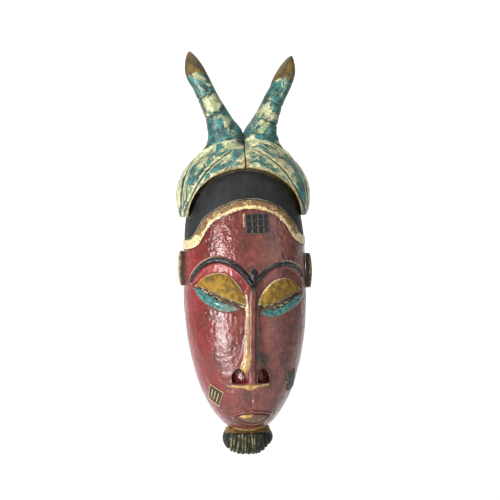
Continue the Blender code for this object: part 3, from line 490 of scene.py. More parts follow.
class Graph:
    """Adds nodes to a tree. A socket given as a value is linked, and anything else is set."""

    def __init__(self, tree):
        self.tree = tree

    def add(self, kind, values=None, **settings):
        made = self.tree.nodes.new(kind)
        for name, value in settings.items():
            setattr(made, name, value)
        for name, value in (values or {}).items():
            self.put(made.inputs[name], value)
        return made

    def put(self, socket, value):
        """Links or sets a socket. A colour of three numbers is made opaque."""
        if isinstance(value, bpy.types.NodeSocket):
            self.tree.links.new(value, socket)
        elif value is not None:
            opaque = socket.type == "RGBA" and len(value) == 3
            socket.default_value = (*value, 1) if opaque else value

    def math(self, operation, a, b=None, clamp=False):
        return self.add("ShaderNodeMath", {0: a, 1: b}, operation=operation, use_clamp=clamp).outputs[0]

    def blend(self, share, a, b):
        return self.add("ShaderNodeMix", {0: share, 6: a, 7: b}, data_type="RGBA").outputs[2]

    def span(self, value, low, high, to_low=0.0, to_high=1.0):
        """A smooth step from to_low to to_high while the value goes from low to high."""
        ends = {"Value": value, "From Min": low, "From Max": high, "To Min": to_low, "To Max": to_high}
        return self.add("ShaderNodeMapRange", ends, interpolation_type="SMOOTHSTEP").outputs["Result"]

    def noise(self, vector, scale, detail=3.0, roughness=0.55, distortion=0.0):
        values = {"Vector": vector, "Scale": scale, "Detail": detail, "Roughness": roughness}
        return self.add("ShaderNodeTexNoise", {**values, "Distortion": distortion}).outputs[0]

    def stretch(self, vector, x, y, z):
        """The same place on a pattern drawn out along an axis: a small number gives a long stroke."""
        return self.add("ShaderNodeMapping", {"Vector": vector, "Scale": (x, y, z)}).outputs[0]

    def value(self, name):
        return self.add("ShaderNodeAttribute", attribute_name=name, attribute_type="GEOMETRY").outputs["Fac"]

    def cells(self, vector, scale):
        values = {"Vector": vector, "Scale": scale}
        return self.add("ShaderNodeTexVoronoi", values, feature="SMOOTH_F1").outputs[0]

    def times(self, vector, scale):
        return self.add("ShaderNodeVectorMath", {0: vector, 1: scale}, operation="MULTIPLY").outputs[0]

    def use(self, group, **values):
        """The outputs of a node group. A value left out, or None, keeps the group's own."""
        made = self.add("ShaderNodeGroup", node_tree=bpy.data.node_groups[group])
        for name, value in values.items():
            self.put(made.inputs[name], value)
        return made.outputs


def new_group(name, inputs, outputs):
    """A node group with named sockets, and its graph, inputs and outputs."""
    tree = bpy.data.node_groups.new(name, "ShaderNodeTree")
    for label, kind, default in inputs:
        socket = tree.interface.new_socket(label, in_out="INPUT", socket_type=kind)
        if default is not None:
            socket.default_value = default
    for label, kind in outputs:
        tree.interface.new_socket(label, in_out="OUTPUT", socket_type=kind)
    graph = Graph(tree)
    return graph, graph.add("NodeGroupInput").outputs, graph.add("NodeGroupOutput").inputs


FLOAT, COLOUR, VECTOR = "NodeSocketFloat", "NodeSocketColor", "NodeSocketVector"


def build_paint_edge():
    """Turns a distance from a painted edge into a mask with an uneven, hand-painted border."""
    inputs = [
        ("Place", VECTOR, None), ("Distance", FLOAT, 0), ("Wobble", FLOAT, 0.8), ("Grain", FLOAT, 500),
        ("Softness", FLOAT, 0.4),
    ]
    g, use, out = new_group("Paint edge", inputs, [("Mask", FLOAT)])
    shake = g.math("SUBTRACT", g.noise(use["Place"], use["Grain"], 4), 0.5)
    moved = g.math("ADD", use["Distance"], g.math("MULTIPLY", shake, g.math("MULTIPLY", use["Wobble"], 2)))
    mask = g.math("ADD", g.math("DIVIDE", moved, use["Softness"]), 0.5, clamp=True)
    g.put(out["Mask"], mask)


def build_patches():
    """Irregular patches of one coat showing through another."""
    inputs = [
        ("Place", VECTOR, None), ("Size", FLOAT, 100), ("Cover", FLOAT, 0.5), ("Sharpness", FLOAT, 0.06),
        ("Detail", FLOAT, 5), ("Roughness", FLOAT, 0.6),
    ]
    g, use, out = new_group("Patches", inputs, [("Mask", FLOAT)])
    field = g.noise(use["Place"], use["Size"], use["Detail"], use["Roughness"], 0.3)
    edge = g.math("SUBTRACT", 1, use["Cover"])
    low = g.math("SUBTRACT", edge, use["Sharpness"])
    high = g.math("ADD", edge, use["Sharpness"])
    g.put(out["Mask"], g.span(field, low, high))


def build_edge_wear():
    """Wear on the arrises, and grime with painted shade in the creases, broken up by grain."""
    inputs = [("Place", VECTOR, None), ("Edge", FLOAT, 0), ("Start", FLOAT, 0.1), ("Grain", FLOAT, 300)]
    g, use, out = new_group("Edge wear", inputs, [("Wear", FLOAT), ("Grime and shade", FLOAT)])
    shake = g.math("MULTIPLY", g.math("SUBTRACT", g.noise(use["Place"], use["Grain"], 5, 0.65), 0.5), 0.5)
    worn = g.math("ADD", use["Edge"], shake)
    g.put(out["Wear"], g.span(worn, use["Start"], g.math("ADD", use["Start"], 0.12)))
    sunk = g.math("SUBTRACT", shake, use["Edge"])
    g.put(out["Grime and shade"], g.span(sunk, use["Start"], g.math("ADD", use["Start"], 0.25)))


def build_tool_marks():
    """The height of a surface worked with a gouge and then brushed with thick paint."""
    inputs = [("Place", VECTOR, None), ("Gouge", FLOAT, 160), ("Brush", FLOAT, 700), ("Mix", FLOAT, 0.5)]
    g, use, out = new_group("Tool marks", inputs, [("Height", FLOAT)])
    bent = g.times(use["Place"], (1, 1, 0.75))
    cuts = g.cells(bent, use["Gouge"])
    strokes = g.noise(use["Place"], use["Brush"], 4, 0.6)
    lumps = g.noise(use["Place"], g.math("MULTIPLY", use["Gouge"], 1.6), 3, 0.5)
    worked = g.math("ADD", g.math("MULTIPLY", cuts, 0.7), g.math("MULTIPLY", lumps, 0.6))
    mixed = g.add("ShaderNodeMix", {0: use["Mix"], 2: worked, 3: strokes}, data_type="FLOAT").outputs[0]
    g.put(out["Height"], mixed)


def build_wood():
    """Bare carved wood: long grain, pores and gouge marks."""
    inputs = [
        ("Place", VECTOR, None), ("Light", COLOUR, (0.5, 0.33, 0.18, 1)),
        ("Dark", COLOUR, (0.24, 0.13, 0.06, 1)),
    ]
    outputs = [("Color", COLOUR), ("Roughness", FLOAT), ("Height", FLOAT)]
    g, use, out = new_group("Carved wood", inputs, outputs)
    long = g.times(use["Place"], (1, 1, 0.09))
    rings = g.noise(long, 160, 4, 0.6, 0.6)
    pores = g.noise(long, 1500, 2, 0.5)
    tone = g.math("ADD", g.math("MULTIPLY", rings, 0.75), g.math("MULTIPLY", pores, 0.3))
    g.put(out["Color"], g.blend(g.span(tone, 0.35, 0.68), use["Dark"], use["Light"]))
    g.put(out["Roughness"], g.span(pores, 0.3, 0.7, 0.8, 0.62))
    cuts = g.cells(long, 110)
    g.put(out["Height"], g.math("ADD", g.math("MULTIPLY", cuts, 0.6), g.math("MULTIPLY", pores, 0.3)))


def build_groups():
    build_paint_edge()
    build_patches()
    build_edge_wear()
    build_tool_marks()
    build_wood()


def new_material(name, **shader_values):
    """A material and its Principled shader, with these values set."""
    material = bpy.data.materials.new(name)
    material.use_nodes = True
    shader = material.node_tree.nodes["Principled BSDF"]
    for label, value in shader_values.items():
        shader.inputs[label.replace("_", " ")].default_value = value
    return material, shader


class Coats(Graph):
    """A finish laid on coat by coat. base is the colour so far and at is the place on the piece."""

    def __init__(self, name, **shader_values):
        self.material, self.shader = new_material(name, **shader_values)
        super().__init__(self.material.node_tree)
        self.at = self.add("ShaderNodeTexCoord").outputs["Object"]

    def mottle(self, a, b, low, high, scale, detail=3, roughness=0.55, place=None):
        """Two colours mixed unevenly."""
        return self.blend(self.span(self.noise(place or self.at, scale, detail, roughness), low, high), a, b)

    def edge(self, mark, wobble, grain, softness=None):
        """Where a paint with a hand-painted border lies, from the mark carved with it."""
        values = {"Wobble": wobble, "Grain": grain, "Softness": softness}
        return self.use("Paint edge", Place=self.at, Distance=self.value(mark), **values)["Mask"]

    def patches(self, size, cover, sharpness=None, place=None, roughness=None):
        values = {"Size": size, "Cover": cover, "Sharpness": sharpness, "Roughness": roughness}
        return self.use("Patches", Place=place or self.at, **values)["Mask"]

    def wear(self, start, grain):
        """Where the arrises are worn, and where the creases are darkened by grime and painted shade."""
        made = self.use("Edge wear", Place=self.at, Edge=self.value("edge"), Start=start, Grain=grain)
        return made["Wear"], made["Grime and shade"]

    def uneven(self, low, high, scale):
        """A roughness that wanders between two values."""
        return self.span(self.noise(self.at, scale, 3), 0.3, 0.7, low, high)

    def tool_marks(self, gouge, brush, mix):
        return self.use("Tool marks", Place=self.at, Gouge=gouge, Brush=brush, Mix=mix)["Height"]

    def coat(self, mask, colour, strength=None):
        """Lays a colour over what is there."""
        share = mask if strength is None else self.math("MULTIPLY", mask, strength)
        self.base = self.blend(share, self.base, colour)

    def finished(self, roughness, height, strength, distance):
        """Gives the shader its colour, roughness and relief, whose depth is in millimetres."""
        relief = {"Height": height, "Strength": strength, "Distance": distance * MM}
        normal = self.add("ShaderNodeBump", relief).outputs[0]
        values = {"Base Color": self.base, "Roughness": roughness, "Normal": normal}
        for label, value in values.items():
            self.put(self.shader.inputs[label], value)
        return self.material


# ------------------------------------------------------------------ finishes


def face_finish(colours):
    """Dark red paint under varnish, with black brows, ochre lids, turquoise under the eyes and worn gold."""
    g = Coats("red_face_paint", Coat_Roughness=0.2, Specular_IOR_Level=0.5)
    red = tuple(colours.red)
    streaks = g.noise(g.stretch(g.at, 1, 1, 0.35), 95, 5, 0.6)
    g.base = g.blend(g.span(streaks, 0.35, 0.7), red, tuple(c * 0.62 for c in red))
    # Painted shade: brown laid over the right side of the face, which lies away from the light.
    side = g.span(g.add("ShaderNodeSeparateXYZ", {0: g.at}).outputs[0], -0.05, 0.02)
    brown = g.mottle((0.25, 0.085, 0.068), (0.12, 0.052, 0.042), 0.4, 0.6, 90, 7, 0.7)
    g.coat(side, brown, 0.82)
    # Brighter red in the eye sockets, with the left one made far brighter as painted light, and painted light
    # down the left side of the face.
    g.coat(g.value("warm"), colours.bright_red, 0.75)
    bruise = g.patches(38, 0.42, 0.12)
    g.coat(bruise, (0.06, 0.028, 0.022), 0.5)
    wear, grime_and_shade = g.wear(0.16, 260)
    # Grime and painted shade darken the creases.
    g.coat(grime_and_shade, (0.022, 0.012, 0.01), 0.75)
    g.coat(wear, (0.35, 0.13, 0.09), 0.35)
    patina = g.edge("patina", 3.4, 200, 2.8)
    speckle = g.span(g.noise(g.at, 520, 5, 0.7), 0.36, 0.56)
    g.coat(g.math("MULTIPLY", patina, speckle), (0.04, 0.048, 0.03), 0.9)
    gold_tone = g.mottle(colours.gold, (0.28, 0.17, 0.05), 0.35, 0.65, 420, 4)
    gold = g.edge("gold", 1.5, 420, 0.9)
    g.coat(gold, gold_tone, 0.9)
    # Painted highlight along the left arris of the nose blade.
    g.coat(g.edge("shine", 0.5, 300, 0.8), (0.68, 0.4, 0.34), 0.75)
    lip = g.value("lip")
    field = g.span(lip, 2.4, 3.2)
    g.coat(field, g.blend(g.noise(g.at, 300), (0.17, 0.08, 0.045), (0.09, 0.07, 0.03)), 0.75)
    # Painted highlight: a lighter red along the raised rim of the lips.
    rim = g.math("MULTIPLY", g.span(lip, -0.6, 0.3), g.span(lip, 1.9, 1.2))
    g.coat(rim, (0.24, 0.06, 0.05), 0.35)
    g.coat(gold, gold_tone, field)
    under = g.edge("under", 0.8, 380)
    teal = g.blend(g.math("MAXIMUM", g.value("under_pale"), 0.3), colours.turquoise, (0.2, 0.26, 0.2))
    teal = g.blend(g.span(g.noise(g.at, 330, 5, 0.7), 0.45, 0.62, 0, 0.85), teal, (0.02, 0.07, 0.07))
    g.coat(under, teal)
    lid = g.edge("lid", 0.3, 500)
    ochre = g.mottle(colours.ochre, (0.13, 0.075, 0.012), 0.4, 0.58, 210, 5, 0.65)
    warm_spot = g.patches(150, 0.4, 0.08)
    ochre = g.blend(g.math("MULTIPLY", warm_spot, 0.6), ochre, (0.46, 0.22, 0.012))
    scuff = g.patches(260, 0.36, 0.05)
    ochre = g.blend(g.math("MULTIPLY", scuff, 0.4), ochre, (0.15, 0.085, 0.02))
    g.coat(lid, ochre)
    cream_tone = g.mottle(colours.cream, (0.45, 0.27, 0.09), 0.4, 0.6, 600, 4)
    cream = g.edge("cream", 0.55, 520, 0.5)
    g.coat(cream, cream_tone, 0.92)
    black = g.edge("brow", 0.35, 500)
    soot = g.mottle((0.006, 0.007, 0.009), (0.03, 0.036, 0.038), 0.45, 0.72, 300, 4)
    g.coat(black, soot)
    # Painted shade: near-black in the creases, along the brows, round the lids and slits, beside the nose,
    # under its base, in the nostrils, in and under the mouth and under the band.
    crease = g.edge("crease", 0.4, 500, 0.7)
    g.coat(crease, (0.008, 0.007, 0.006), 0.92)
    chips = g.edge("chip", 0.6, 600, 0.35)
    g.coat(chips, cream_tone, 0.95)
    # Painted shade: darker red inside the nostrils.
    nostril_shade = g.edge("nostril", 0.4, 500, 0.8)
    inner = g.mottle((0.16, 0.014, 0.012), (0.05, 0.01, 0.01), 0.4, 0.6, 300, 3)
    g.coat(nostril_shade, inner, g.math("SUBTRACT", 1, crease))
    matt = g.math("MAXIMUM", g.math("MULTIPLY", crease, 0.6), g.math("MULTIPLY", lid, 0.8))
    rough = g.math("MAXIMUM", g.uneven(0.14, 0.3, 120), matt)
    dull = g.math("MAXIMUM", g.math("MAXIMUM", lid, gold), g.math("MAXIMUM", cream, crease))
    g.put(g.shader.inputs["Coat Weight"], g.span(dull, 0, 1, 0.12, 0))
    return g.finished(rough, g.tool_marks(240, 600, 0.08), 0.8, 1.5)


def hair_finish(colours):
    g = Coats("charcoal_hair_paint", Coat_Weight=0.05, Specular_IOR_Level=0.35)
    dust = g.span(g.noise(g.at, 130, 5, 0.65), 0.38, 0.72)
    g.base = g.blend(dust, colours.black, (0.027, 0.028, 0.029))
    g.coat(g.wear(0.14, 340)[0], (0.26, 0.2, 0.12), 0.55)
    g.coat(g.edge("cream", 0.5, 420, 0.5), (0.34, 0.29, 0.2), 0.75)
    # Painted shade: a dark line in the groove above the band.
    g.coat(g.edge("crease", 0.3, 420, 0.5), (0.004, 0.004, 0.004), 0.9)
    g.coat(g.edge("smear", 2.6, 300, 1.4), (0.15, 0.115, 0.05), 0.6)
    specks = g.patches(900, 0.27, 0.03)
    g.coat(specks, (0.16, 0.14, 0.11), 0.5)
    return g.finished(g.span(dust, 0, 1, 0.62, 0.8), g.tool_marks(150, 800, 0.45), 0.4, 0.7)


def gold_finish(colours):
    g = Coats("worn_gold_paint", Coat_Weight=0.25, Coat_Roughness=0.3)
    g.base = g.mottle(colours.gold, (0.95, 0.8, 0.46), 0.48, 0.64, 300, 5, 0.65)
    brown = g.patches(200, 0.54, 0.04)
    g.coat(brown, (0.24, 0.115, 0.03), 0.9)
    # Painted shade: the upper half of the band darkened to brown.
    g.coat(g.edge("upper", 2.2, 260, 2.4), (0.19, 0.1, 0.035), 0.68)
    # Painted highlight along the lower edge of the band, and pale paint at its two ends.
    g.coat(g.edge("bright", 1.5, 240, 0.7), (0.9, 0.72, 0.4), 0.85)
    pits = g.patches(520, 0.42, 0.03)
    g.coat(pits, (0.05, 0.028, 0.014), 0.85)
    wear, grime_and_shade = g.wear(0.1, 320)
    # Worn arrises in pale cream, bright enough to stand for the highlights on the raised parts: real wear and
    # painted highlight.
    g.coat(wear, (0.92, 0.8, 0.54), 0.85)
    # Grime and painted shade darken the creases.
    g.coat(grime_and_shade, (0.03, 0.018, 0.012), 0.9)
    return g.finished(g.uneven(0.38, 0.62, 400), g.tool_marks(300, 900, 0.4), 0.95, 1.6)


def crest_finish(colours):
    """Turquoise brushed over a cream ground, worn through in strokes that follow the form, with painted
    highlights beside the grooves and painted shade on the sides turned away.
    """
    g = Coats("worn_turquoise_paint", Coat_Weight=0.3, Coat_Roughness=0.28)
    strokes = g.add("ShaderNodeCombineXYZ", {0: g.value("along"), 1: g.value("across"), 2: 0}).outputs[0]
    swept = g.stretch(strokes, 0.6, 1, 1)
    cream = g.mottle(colours.cream, (0.34, 0.42, 0.2), 0.42, 0.56, 210, 6, 0.7, place=swept)
    cream = g.blend(g.math("MULTIPLY", g.patches(70, 0.42, place=swept), 0.55), cream, (0.6, 0.42, 0.18))
    teal = g.mottle(colours.turquoise, (0.01, 0.04, 0.045), 0.44, 0.56, 170, 6, 0.7, place=swept)
    teal = g.blend(g.span(g.noise(swept, 420, 4, 0.6), 0.54, 0.7, 0, 0.5), teal, (0.26, 0.38, 0.28))
    big = g.noise(swept, 62, 8, 0.74, 0.8)
    worn = g.math("ADD", big, g.value("worn_and_lit"))
    cover = g.span(worn, 0.505, 0.545)
    g.base = g.blend(cover, teal, cream)
    wash = g.span(g.noise(g.at, 240, 6, 0.75), 0.52, 0.6)
    g.coat(wash, (0.12, 0.25, 0.17), 0.4)
    g.coat(g.patches(620, 0.4, 0.04, roughness=0.7), (0.05, 0.06, 0.035), 0.4)
    g.coat(g.patches(800, 0.33, 0.03, place=swept), (0.66, 0.62, 0.4), 0.6)
    scratch = g.patches(420, 0.38, 0.025, place=g.stretch(strokes, 1, 0.4, 1))
    g.coat(scratch, (0.045, 0.045, 0.025), 0.62)
    # Painted shade: dark green on the sides of the horns turned away from the front, and in the fork between
    # them.
    turned_shade = g.math("MULTIPLY", g.value("turned_shade"), g.span(g.noise(g.at, 150, 4), 0.25, 0.5))
    g.coat(turned_shade, (0.022, 0.055, 0.042), 0.8)
    wear, grime_and_shade = g.wear(0.15, 300)
    g.coat(wear, (0.62, 0.5, 0.26), 0.6)
    # Grime and painted shade darken the creases.
    g.coat(grime_and_shade, (0.05, 0.045, 0.03), 0.8)
    gold = g.edge("gold", 2.2, 260, 1.2)
    gold_tone = g.mottle((0.56, 0.38, 0.13), (0.17, 0.12, 0.05), 0.4, 0.6, 300, 4)
    g.coat(gold, gold_tone, 0.9)
    tip = g.edge("tip", 1.6, 260, 1)
    tip_tone = g.mottle((0.22, 0.125, 0.014), (0.045, 0.035, 0.014), 0.42, 0.6, 170, 5, 0.65, place=swept)
    # Painted shade: the horn tips darker on their turned-away sides.
    tip_tone = g.blend(g.math("MULTIPLY", g.value("turned_shade"), 0.8), tip_tone, (0.07, 0.062, 0.03))
    g.coat(tip, tip_tone)
    # Painted shade: dark lines in the grooves and the horn rings, and a dark joint line at the seam.
    g.coat(g.edge("crease", 0.5, 420, 0.6), (0.045, 0.038, 0.02), 0.85)
    height = g.math("ADD", g.tool_marks(170, 700, 0.4), g.math("MULTIPLY", cover, -0.25))
    return g.finished(g.span(cover, 0, 1, 0.42, 0.6), height, 0.9, 1.5)


def beard_finish():
    g = Coats("grooved_beard_paint", Specular_IOR_Level=0.25)
    g.base = g.mottle((0.006, 0.008, 0.007), (0.02, 0.024, 0.019), 0.4, 0.7, 200, 4)
    g.coat(g.wear(0.2, 320)[0], (0.12, 0.11, 0.06), 0.2)
    groove = g.edge("groove", 0.9, 330, 0.5)
    flakes = g.patches(230, 0.52, 0.08, place=g.stretch(g.at, 1, 1, 0.4))
    gold = g.mottle((0.46, 0.4, 0.17), (0.2, 0.18, 0.08), 0.4, 0.6, 320, 3)
    g.coat(g.math("MULTIPLY", groove, flakes), gold, 0.9)
    top = g.edge("gold", 1.6, 300, 1.2)
    top_tone = g.mottle((0.4, 0.27, 0.08), (0.07, 0.045, 0.02), 0.42, 0.58, 300, 5, 0.65)
    g.coat(top, top_tone, 0.8)
    return g.finished(g.uneven(0.5, 0.7, 240), g.tool_marks(220, 800, 0.5), 0.5, 0.8)


def ear_finish():
    g = Coats("ear_gold_paint", Coat_Weight=0.2, Coat_Roughness=0.3)
    gold = g.mottle((0.36, 0.24, 0.09), (0.12, 0.07, 0.03), 0.4, 0.62, 260, 4)
    inner = g.edge("gold", 2.4, 300, 0.8)
    g.base = g.blend(inner, (0.03, 0.024, 0.02), gold)
    g.coat(g.wear(0.12, 300)[0], (0.58, 0.46, 0.26), 0.7)
    return g.finished(g.uneven(0.4, 0.62, 240), g.tool_marks(240, 800, 0.5), 0.5, 0.8)


def tablet_finish(name, field, raised):
    """A scar tablet: one paint on its field and another on its raised bars and rim."""
    g = Coats(name, Coat_Weight=0.35, Coat_Roughness=0.25)
    bars = g.edge("bars", 0.3, 600, 0.3)
    low = g.mottle(field, tuple(c * 0.45 for c in field), 0.4, 0.65, 400, 4)
    high = g.mottle(raised, tuple(c * 0.5 for c in raised), 0.4, 0.65, 420, 4)
    g.base = g.blend(bars, low, high)
    g.coat(g.wear(0.22, 320)[0], (0.4, 0.3, 0.16), 0.4)
    return g.finished(g.uneven(0.32, 0.55, 300), g.tool_marks(300, 900, 0.5), 0.4, 0.6)


def wood_finish(name, light, dark):
    g = Coats(name)
    made = g.use("Carved wood", Place=g.at, Light=light, Dark=dark)
    g.base = made["Color"]
    return g.finished(made["Roughness"], made["Height"], 0.5, 0.8)


def steel_finish():
    g = Coats("zinc_plated_steel", Metallic=1)
    g.base = g.mottle((0.52, 0.52, 0.5), (0.34, 0.34, 0.33), 0.4, 0.7, 300, 5)
    brushed = g.stretch(g.at, 0.1, 1, 1)
    rough = g.span(g.noise(brushed, 1500, 3), 0.3, 0.7, 0.3, 0.5)
    return g.finished(rough, g.noise(brushed, 2500, 2), 0.15, 0.2)


# ------------------------------------------------------------------ the face


def face_levels():
    """Heights of the grid rows, closer together where the carving is fine."""
    bands = ((-126, -66, 0.56), (-199, -172, 0.6), (-192.4, -189.4, 0.22), (-236, -215, 0.5))
    z = CHIN + 0.05
    levels = []
    while z < FACE_TOP:
        levels.append(z)
        step = min([0.85] + [pitch for low, high, pitch in bands if low < z < high])
        z += min(step, 0.06 + (z - CHIN) * 0.16)
    return levels


def carve_face(mesh):
    """Raises and sinks the skin of the face, and marks where each paint goes."""
    points = get_points(mesh)
    normals = get_normals(mesh)
    x, z = points[:, 0], points[:, 2]
    lift = wander(points, 26, 3) * 0.45 + wander(points, 9, 5) * 0.12
    marks = {}

    def put(name, values, where=True):
        """A paint reaches as far as the widest of its strokes, which can be held to some places."""
        marks[name] = np.maximum(marks.get(name, UNMARKED), np.where(where, values, UNMARKED))

    uneven = wander(points, 5, 9)
    pale, warm = np.zeros(x.shape), np.zeros(x.shape)

    for name, brow in BROWS.items():
        slit, under, lid = SLITS[name], UNDER_EYES[name], LIDS[name]
        away, share, side = to_line(x, z, brow)
        half = along_line(share, brow, 2) / 2
        inner = -side if name == "left" else side
        socket = np.vstack([brow[:, :2], under[::-1] if name == "left" else under])
        hollow = inside_depth(x, z, socket)
        lift -= 2.4 * ease(hollow, 0, 4.5)
        lift += size("brow_rise") * np.sqrt(hump(away, half * 1.25))
        put("brow", half - away)
        put("cream", 0.55 - np.abs(away - half - 0.5) - 0.9 * (inner > 0) - ease(share, 0.25, 0.6) * 0.7)
        # Painted shade: a dark line in the groove along the top of the brow.
        put("crease", 0.15 - np.abs(away - half + 0.1) - 1.4 * (inner > 0))
        # Brighter red in the socket, much stronger on the left: paint and painted light.
        warm = np.maximum(warm, ease(hollow, 0.5, 3) * (1 if name == "left" else 0.12))

        deep = inside_depth(x, z, lid)
        swell = np.clip(deep / 9, 0, 1)
        lift += np.where(deep > 0, size("lid_rise") * np.sqrt(np.clip(1 - (1 - swell) ** 2, 0, 1)), 0)
        lift += 0.55 * hump(np.abs(deep - 0.2), 1.3)
        put("lid", deep)
        put("cream", 0.55 - np.abs(deep - 0.25) + uneven * 0.25)
        # Painted shade: a dark line round the lid.
        put("crease", 0.1 - np.abs(deep + 1))

        gap, run, slit_side = to_line(x, z, slit)
        ends = np.sqrt(np.clip(np.sin(np.pi * np.clip(run, 0, 1)), 0, 1))
        lift -= 1.6 * hump(gap, 4.4) * ends * (deep < 0.4)
        # Painted shade: dark round the slit and in the recess between the slit and the lid.
        put("crease", 1.5 * ends - gap)
        between = np.vstack([slit, lid[np.argmax(lid[:, 0]):]])
        put("crease", inside_depth(x, z, between) + 0.5)
        chips = 0.62 - np.abs(deep + 0.9 + uneven * 0.6)
        near_slit = (gap < 5) & (run > 0.02) & (run < 0.98)
        broken = 0.75 * np.sin(x * 0.9 + 3 * uneven) + 0.5 * np.sin(x * 2.3)
        put("chip", chips - 0.35 + 0.3 * broken, near_slit)
        second = 0.5 - np.abs(slit_side * gap - 0.4 - 0.9 * broken)
        put("chip", second - 0.3 * ease(run, 0.6, 0.9), near_slit & (broken < 0.6))

        rim, rim_share, _ = to_line(x, z, under)
        inside = inside_depth(x, z, np.vstack([under, slit[::-1]]))
        lift += 1.5 * ease(inside, -1.4, 1.6)
        put("under", inside - 0.1)
        # Painted shade: a dark line along the edge of the band under the eye.
        put("crease", 0.12 - np.abs(inside + 0.35), rim < 3)
        fade = ease(rim_share, 0.5, 0.8) if name == "left" else ease(rim_share, 0.55, 0.9) * 0.6
        pale = np.where(inside > -2, np.maximum(pale, fade), pale)

    # Painted light: brighter red down the left side of the face.
    warm = np.maximum(warm, 0.4 * ease(-x, 30, 56) * (1 - ease(-z, 215, 235)))
    bud = inside_depth(x, z, BUD)
    lift += 1.9 * ease(bud, -0.6, 1.8) - 0.7 * hump(np.abs(bud + 0.8), 0.9)
    put("brow", bud)
    # Painted shade: a dark line round the bud.
    put("crease", 0.3 - np.abs(bud + 0.7))
    # Painted highlight: a cream line on the left edge of the bud.
    put("cream", 0.3 - np.abs(bud - 0.1) - ease(-z, 80, 84) * 2, x < 4)

    nose_x = np.interp(-z, -NOSE[:, 1], NOSE[:, 0])
    across = x - nose_x
    down = np.clip((-z - 96) / 94, 0, 1)
    below = ease(-z, 189.9, 191.3)
    above = ease(-z, 92, 100)
    blade = 3.6 + (size("nose_rise") - 3.6) * down**1.3
    ridge = 1 - ease(np.abs(across), 2.7, 4.1)
    ahead = blade * ridge * above
    half = np.interp(-z, (96, 140, 165, 178, 191), (5.2, 6.6, 11, 17.6, 20))
    slope = np.interp(-z, (96, 140, 165, 180, 191), (0.6, 1.6, 3.6, 6.4, 7.4))
    flank = slope * np.clip(1 - (np.abs(across) / half) ** 2.2, 0, 1) ** 0.8
    ahead = (ahead + flank * above) * (1 - below)
    for name, outline in NOSTRILS.items():
        deep = inside_depth(x, z, outline)
        ahead += 0.7 * hump(np.abs(deep), 1) * (1 - below)
        ahead -= np.minimum(7.4, slope * 1.2) * ease(deep, 0, 2.2) * (1 - 0.35 * ease(-z, 185, 190))
        put("nostril", deep - 0.5)
        top = (z > -189) & (np.abs(across) > 3)
        put("cream", 0.02 - np.abs(deep + 0.2) + uneven * 0.6, top)
        shade = 1.1 - np.hypot(x - outline[:, 0].mean(), (z + 177.6) * 0.8) * 0.35
        put("crease", shade if name == "left" else shade - 0.5, deep > 0.4)
    # Painted shade: dark lines beside the nose blade, strong on the right and faint on the left.
    beside = (z < -100) & (z > -189)
    put("crease", 0.42 - np.abs(across - 4.4) + 0.3 * uneven, beside)
    put("crease", 0.05 - np.abs(across + 4) + 0.3 * uneven, beside)
    # Painted shadow under the base of the nose.
    put("crease", 0.5 - np.abs(z + 191 - 0.002 * x**2), np.abs(across) < 19.5)

    mouth = inside_depth(x, z, MOUTH)
    ahead += size("lip_rise") * np.sqrt(np.clip(ease(mouth, -1.4, 7), 0, 1))
    ahead += 1.3 * hump(np.abs(mouth - 0.4), 1.3) - 1.2 * hump(np.abs(mouth - 2.3), 1)
    # Painted shade in the groove inside the lip rim.
    put("crease", 0.42 - np.abs(mouth - 2.3) + uneven * 0.1)
    # Painted shadow under the lower lip.
    put("crease", 0.35 - np.abs(mouth + 1.3), z < -224)
    lift -= 0.8 * hump(np.abs(x - 1.2), 3.2) * ease(-z, 196, 202) * (1 - ease(-z, 213, 217))
    ahead += 1.2 * ease(-z, 203, 214) * ease(20 - np.abs(x), 0, 9) * (1 - ease(-z, 232, 238))

    strip = smooth_line([(-1.5, -112), (-2, -140), (-3.2, -160), (-4.6, -170), (-6.4, -175.5)])
    away, share, _ = to_line(x, z, strip)
    put("gold", 1 + 2.8 * ease(share, 0.6, 1) - away)
    strip = smooth_line([(-19, -192.8), (-9, -193.4), (1, -193.8), (10, -192.8), (17.5, -191.8)])
    away, share, _ = to_line(x, z, strip)
    put("gold", 1 + 2.2 * hump(np.abs(share - 0.52), 0.22) - away)
    away, share, _ = to_line(x, z, smooth_line([(-14, -238.4), (0, -240), (15, -238)]))
    put("gold", 2 - away)
    put("gold", np.minimum(mouth - 2.8, 6.4 - np.hypot(x + 4.6, (z + 221.8) * 2.1)))
    inner_corner, _, _ = to_line(x, z, smooth_line([(-3, -104), (-2.4, -113), (-2, -124)]))
    put("cream", 0.9 - inner_corner)
    patina = 5.5 - np.hypot((x - 13.2) * 1.1, (z + 167) * 0.75)
    patina = np.maximum(patina, 3.4 - np.hypot(x + 4.4, (z + 202) * 0.7))
    patina = np.maximum(patina, 4.2 - np.hypot((x - 7) * 1.6, (z + 152) * 0.35))

    away, share, _ = to_line(x, z, BAND[:, :2])
    # Painted shade on the face just under the band.
    put("crease", 0.55 - np.abs(away - along_line(share, BAND, 2) - 0.4))
    put("cream", 0.8 - np.hypot(x - 36.6, z + 191.6))
    corner = to_line(x, z, smooth_line([(-13.5, -111.6), (-7.5, -114.2), (-3.4, -117), (-2.2, -124)]))[0]
    put("cream", 0.75 - corner)
    # Painted highlight along the left arris of the nose blade.
    shine = np.where(beside, 0.35 - np.abs(across + 1.3) + 0.4 * uneven, UNMARKED)
    put("cream", 0.5 - np.abs(x + 3.6 + 0.4 * uneven), (z > -38) & (z < -24))
    moved = points + normals * lift[:, None]
    moved[:, 1] -= ahead
    set_points(mesh, moved)
    marks.update(under_pale=pale, patina=patina, warm=warm, lip=mouth, shine=shine)
    for label, values in marks.items():
        mark(mesh, label, values)


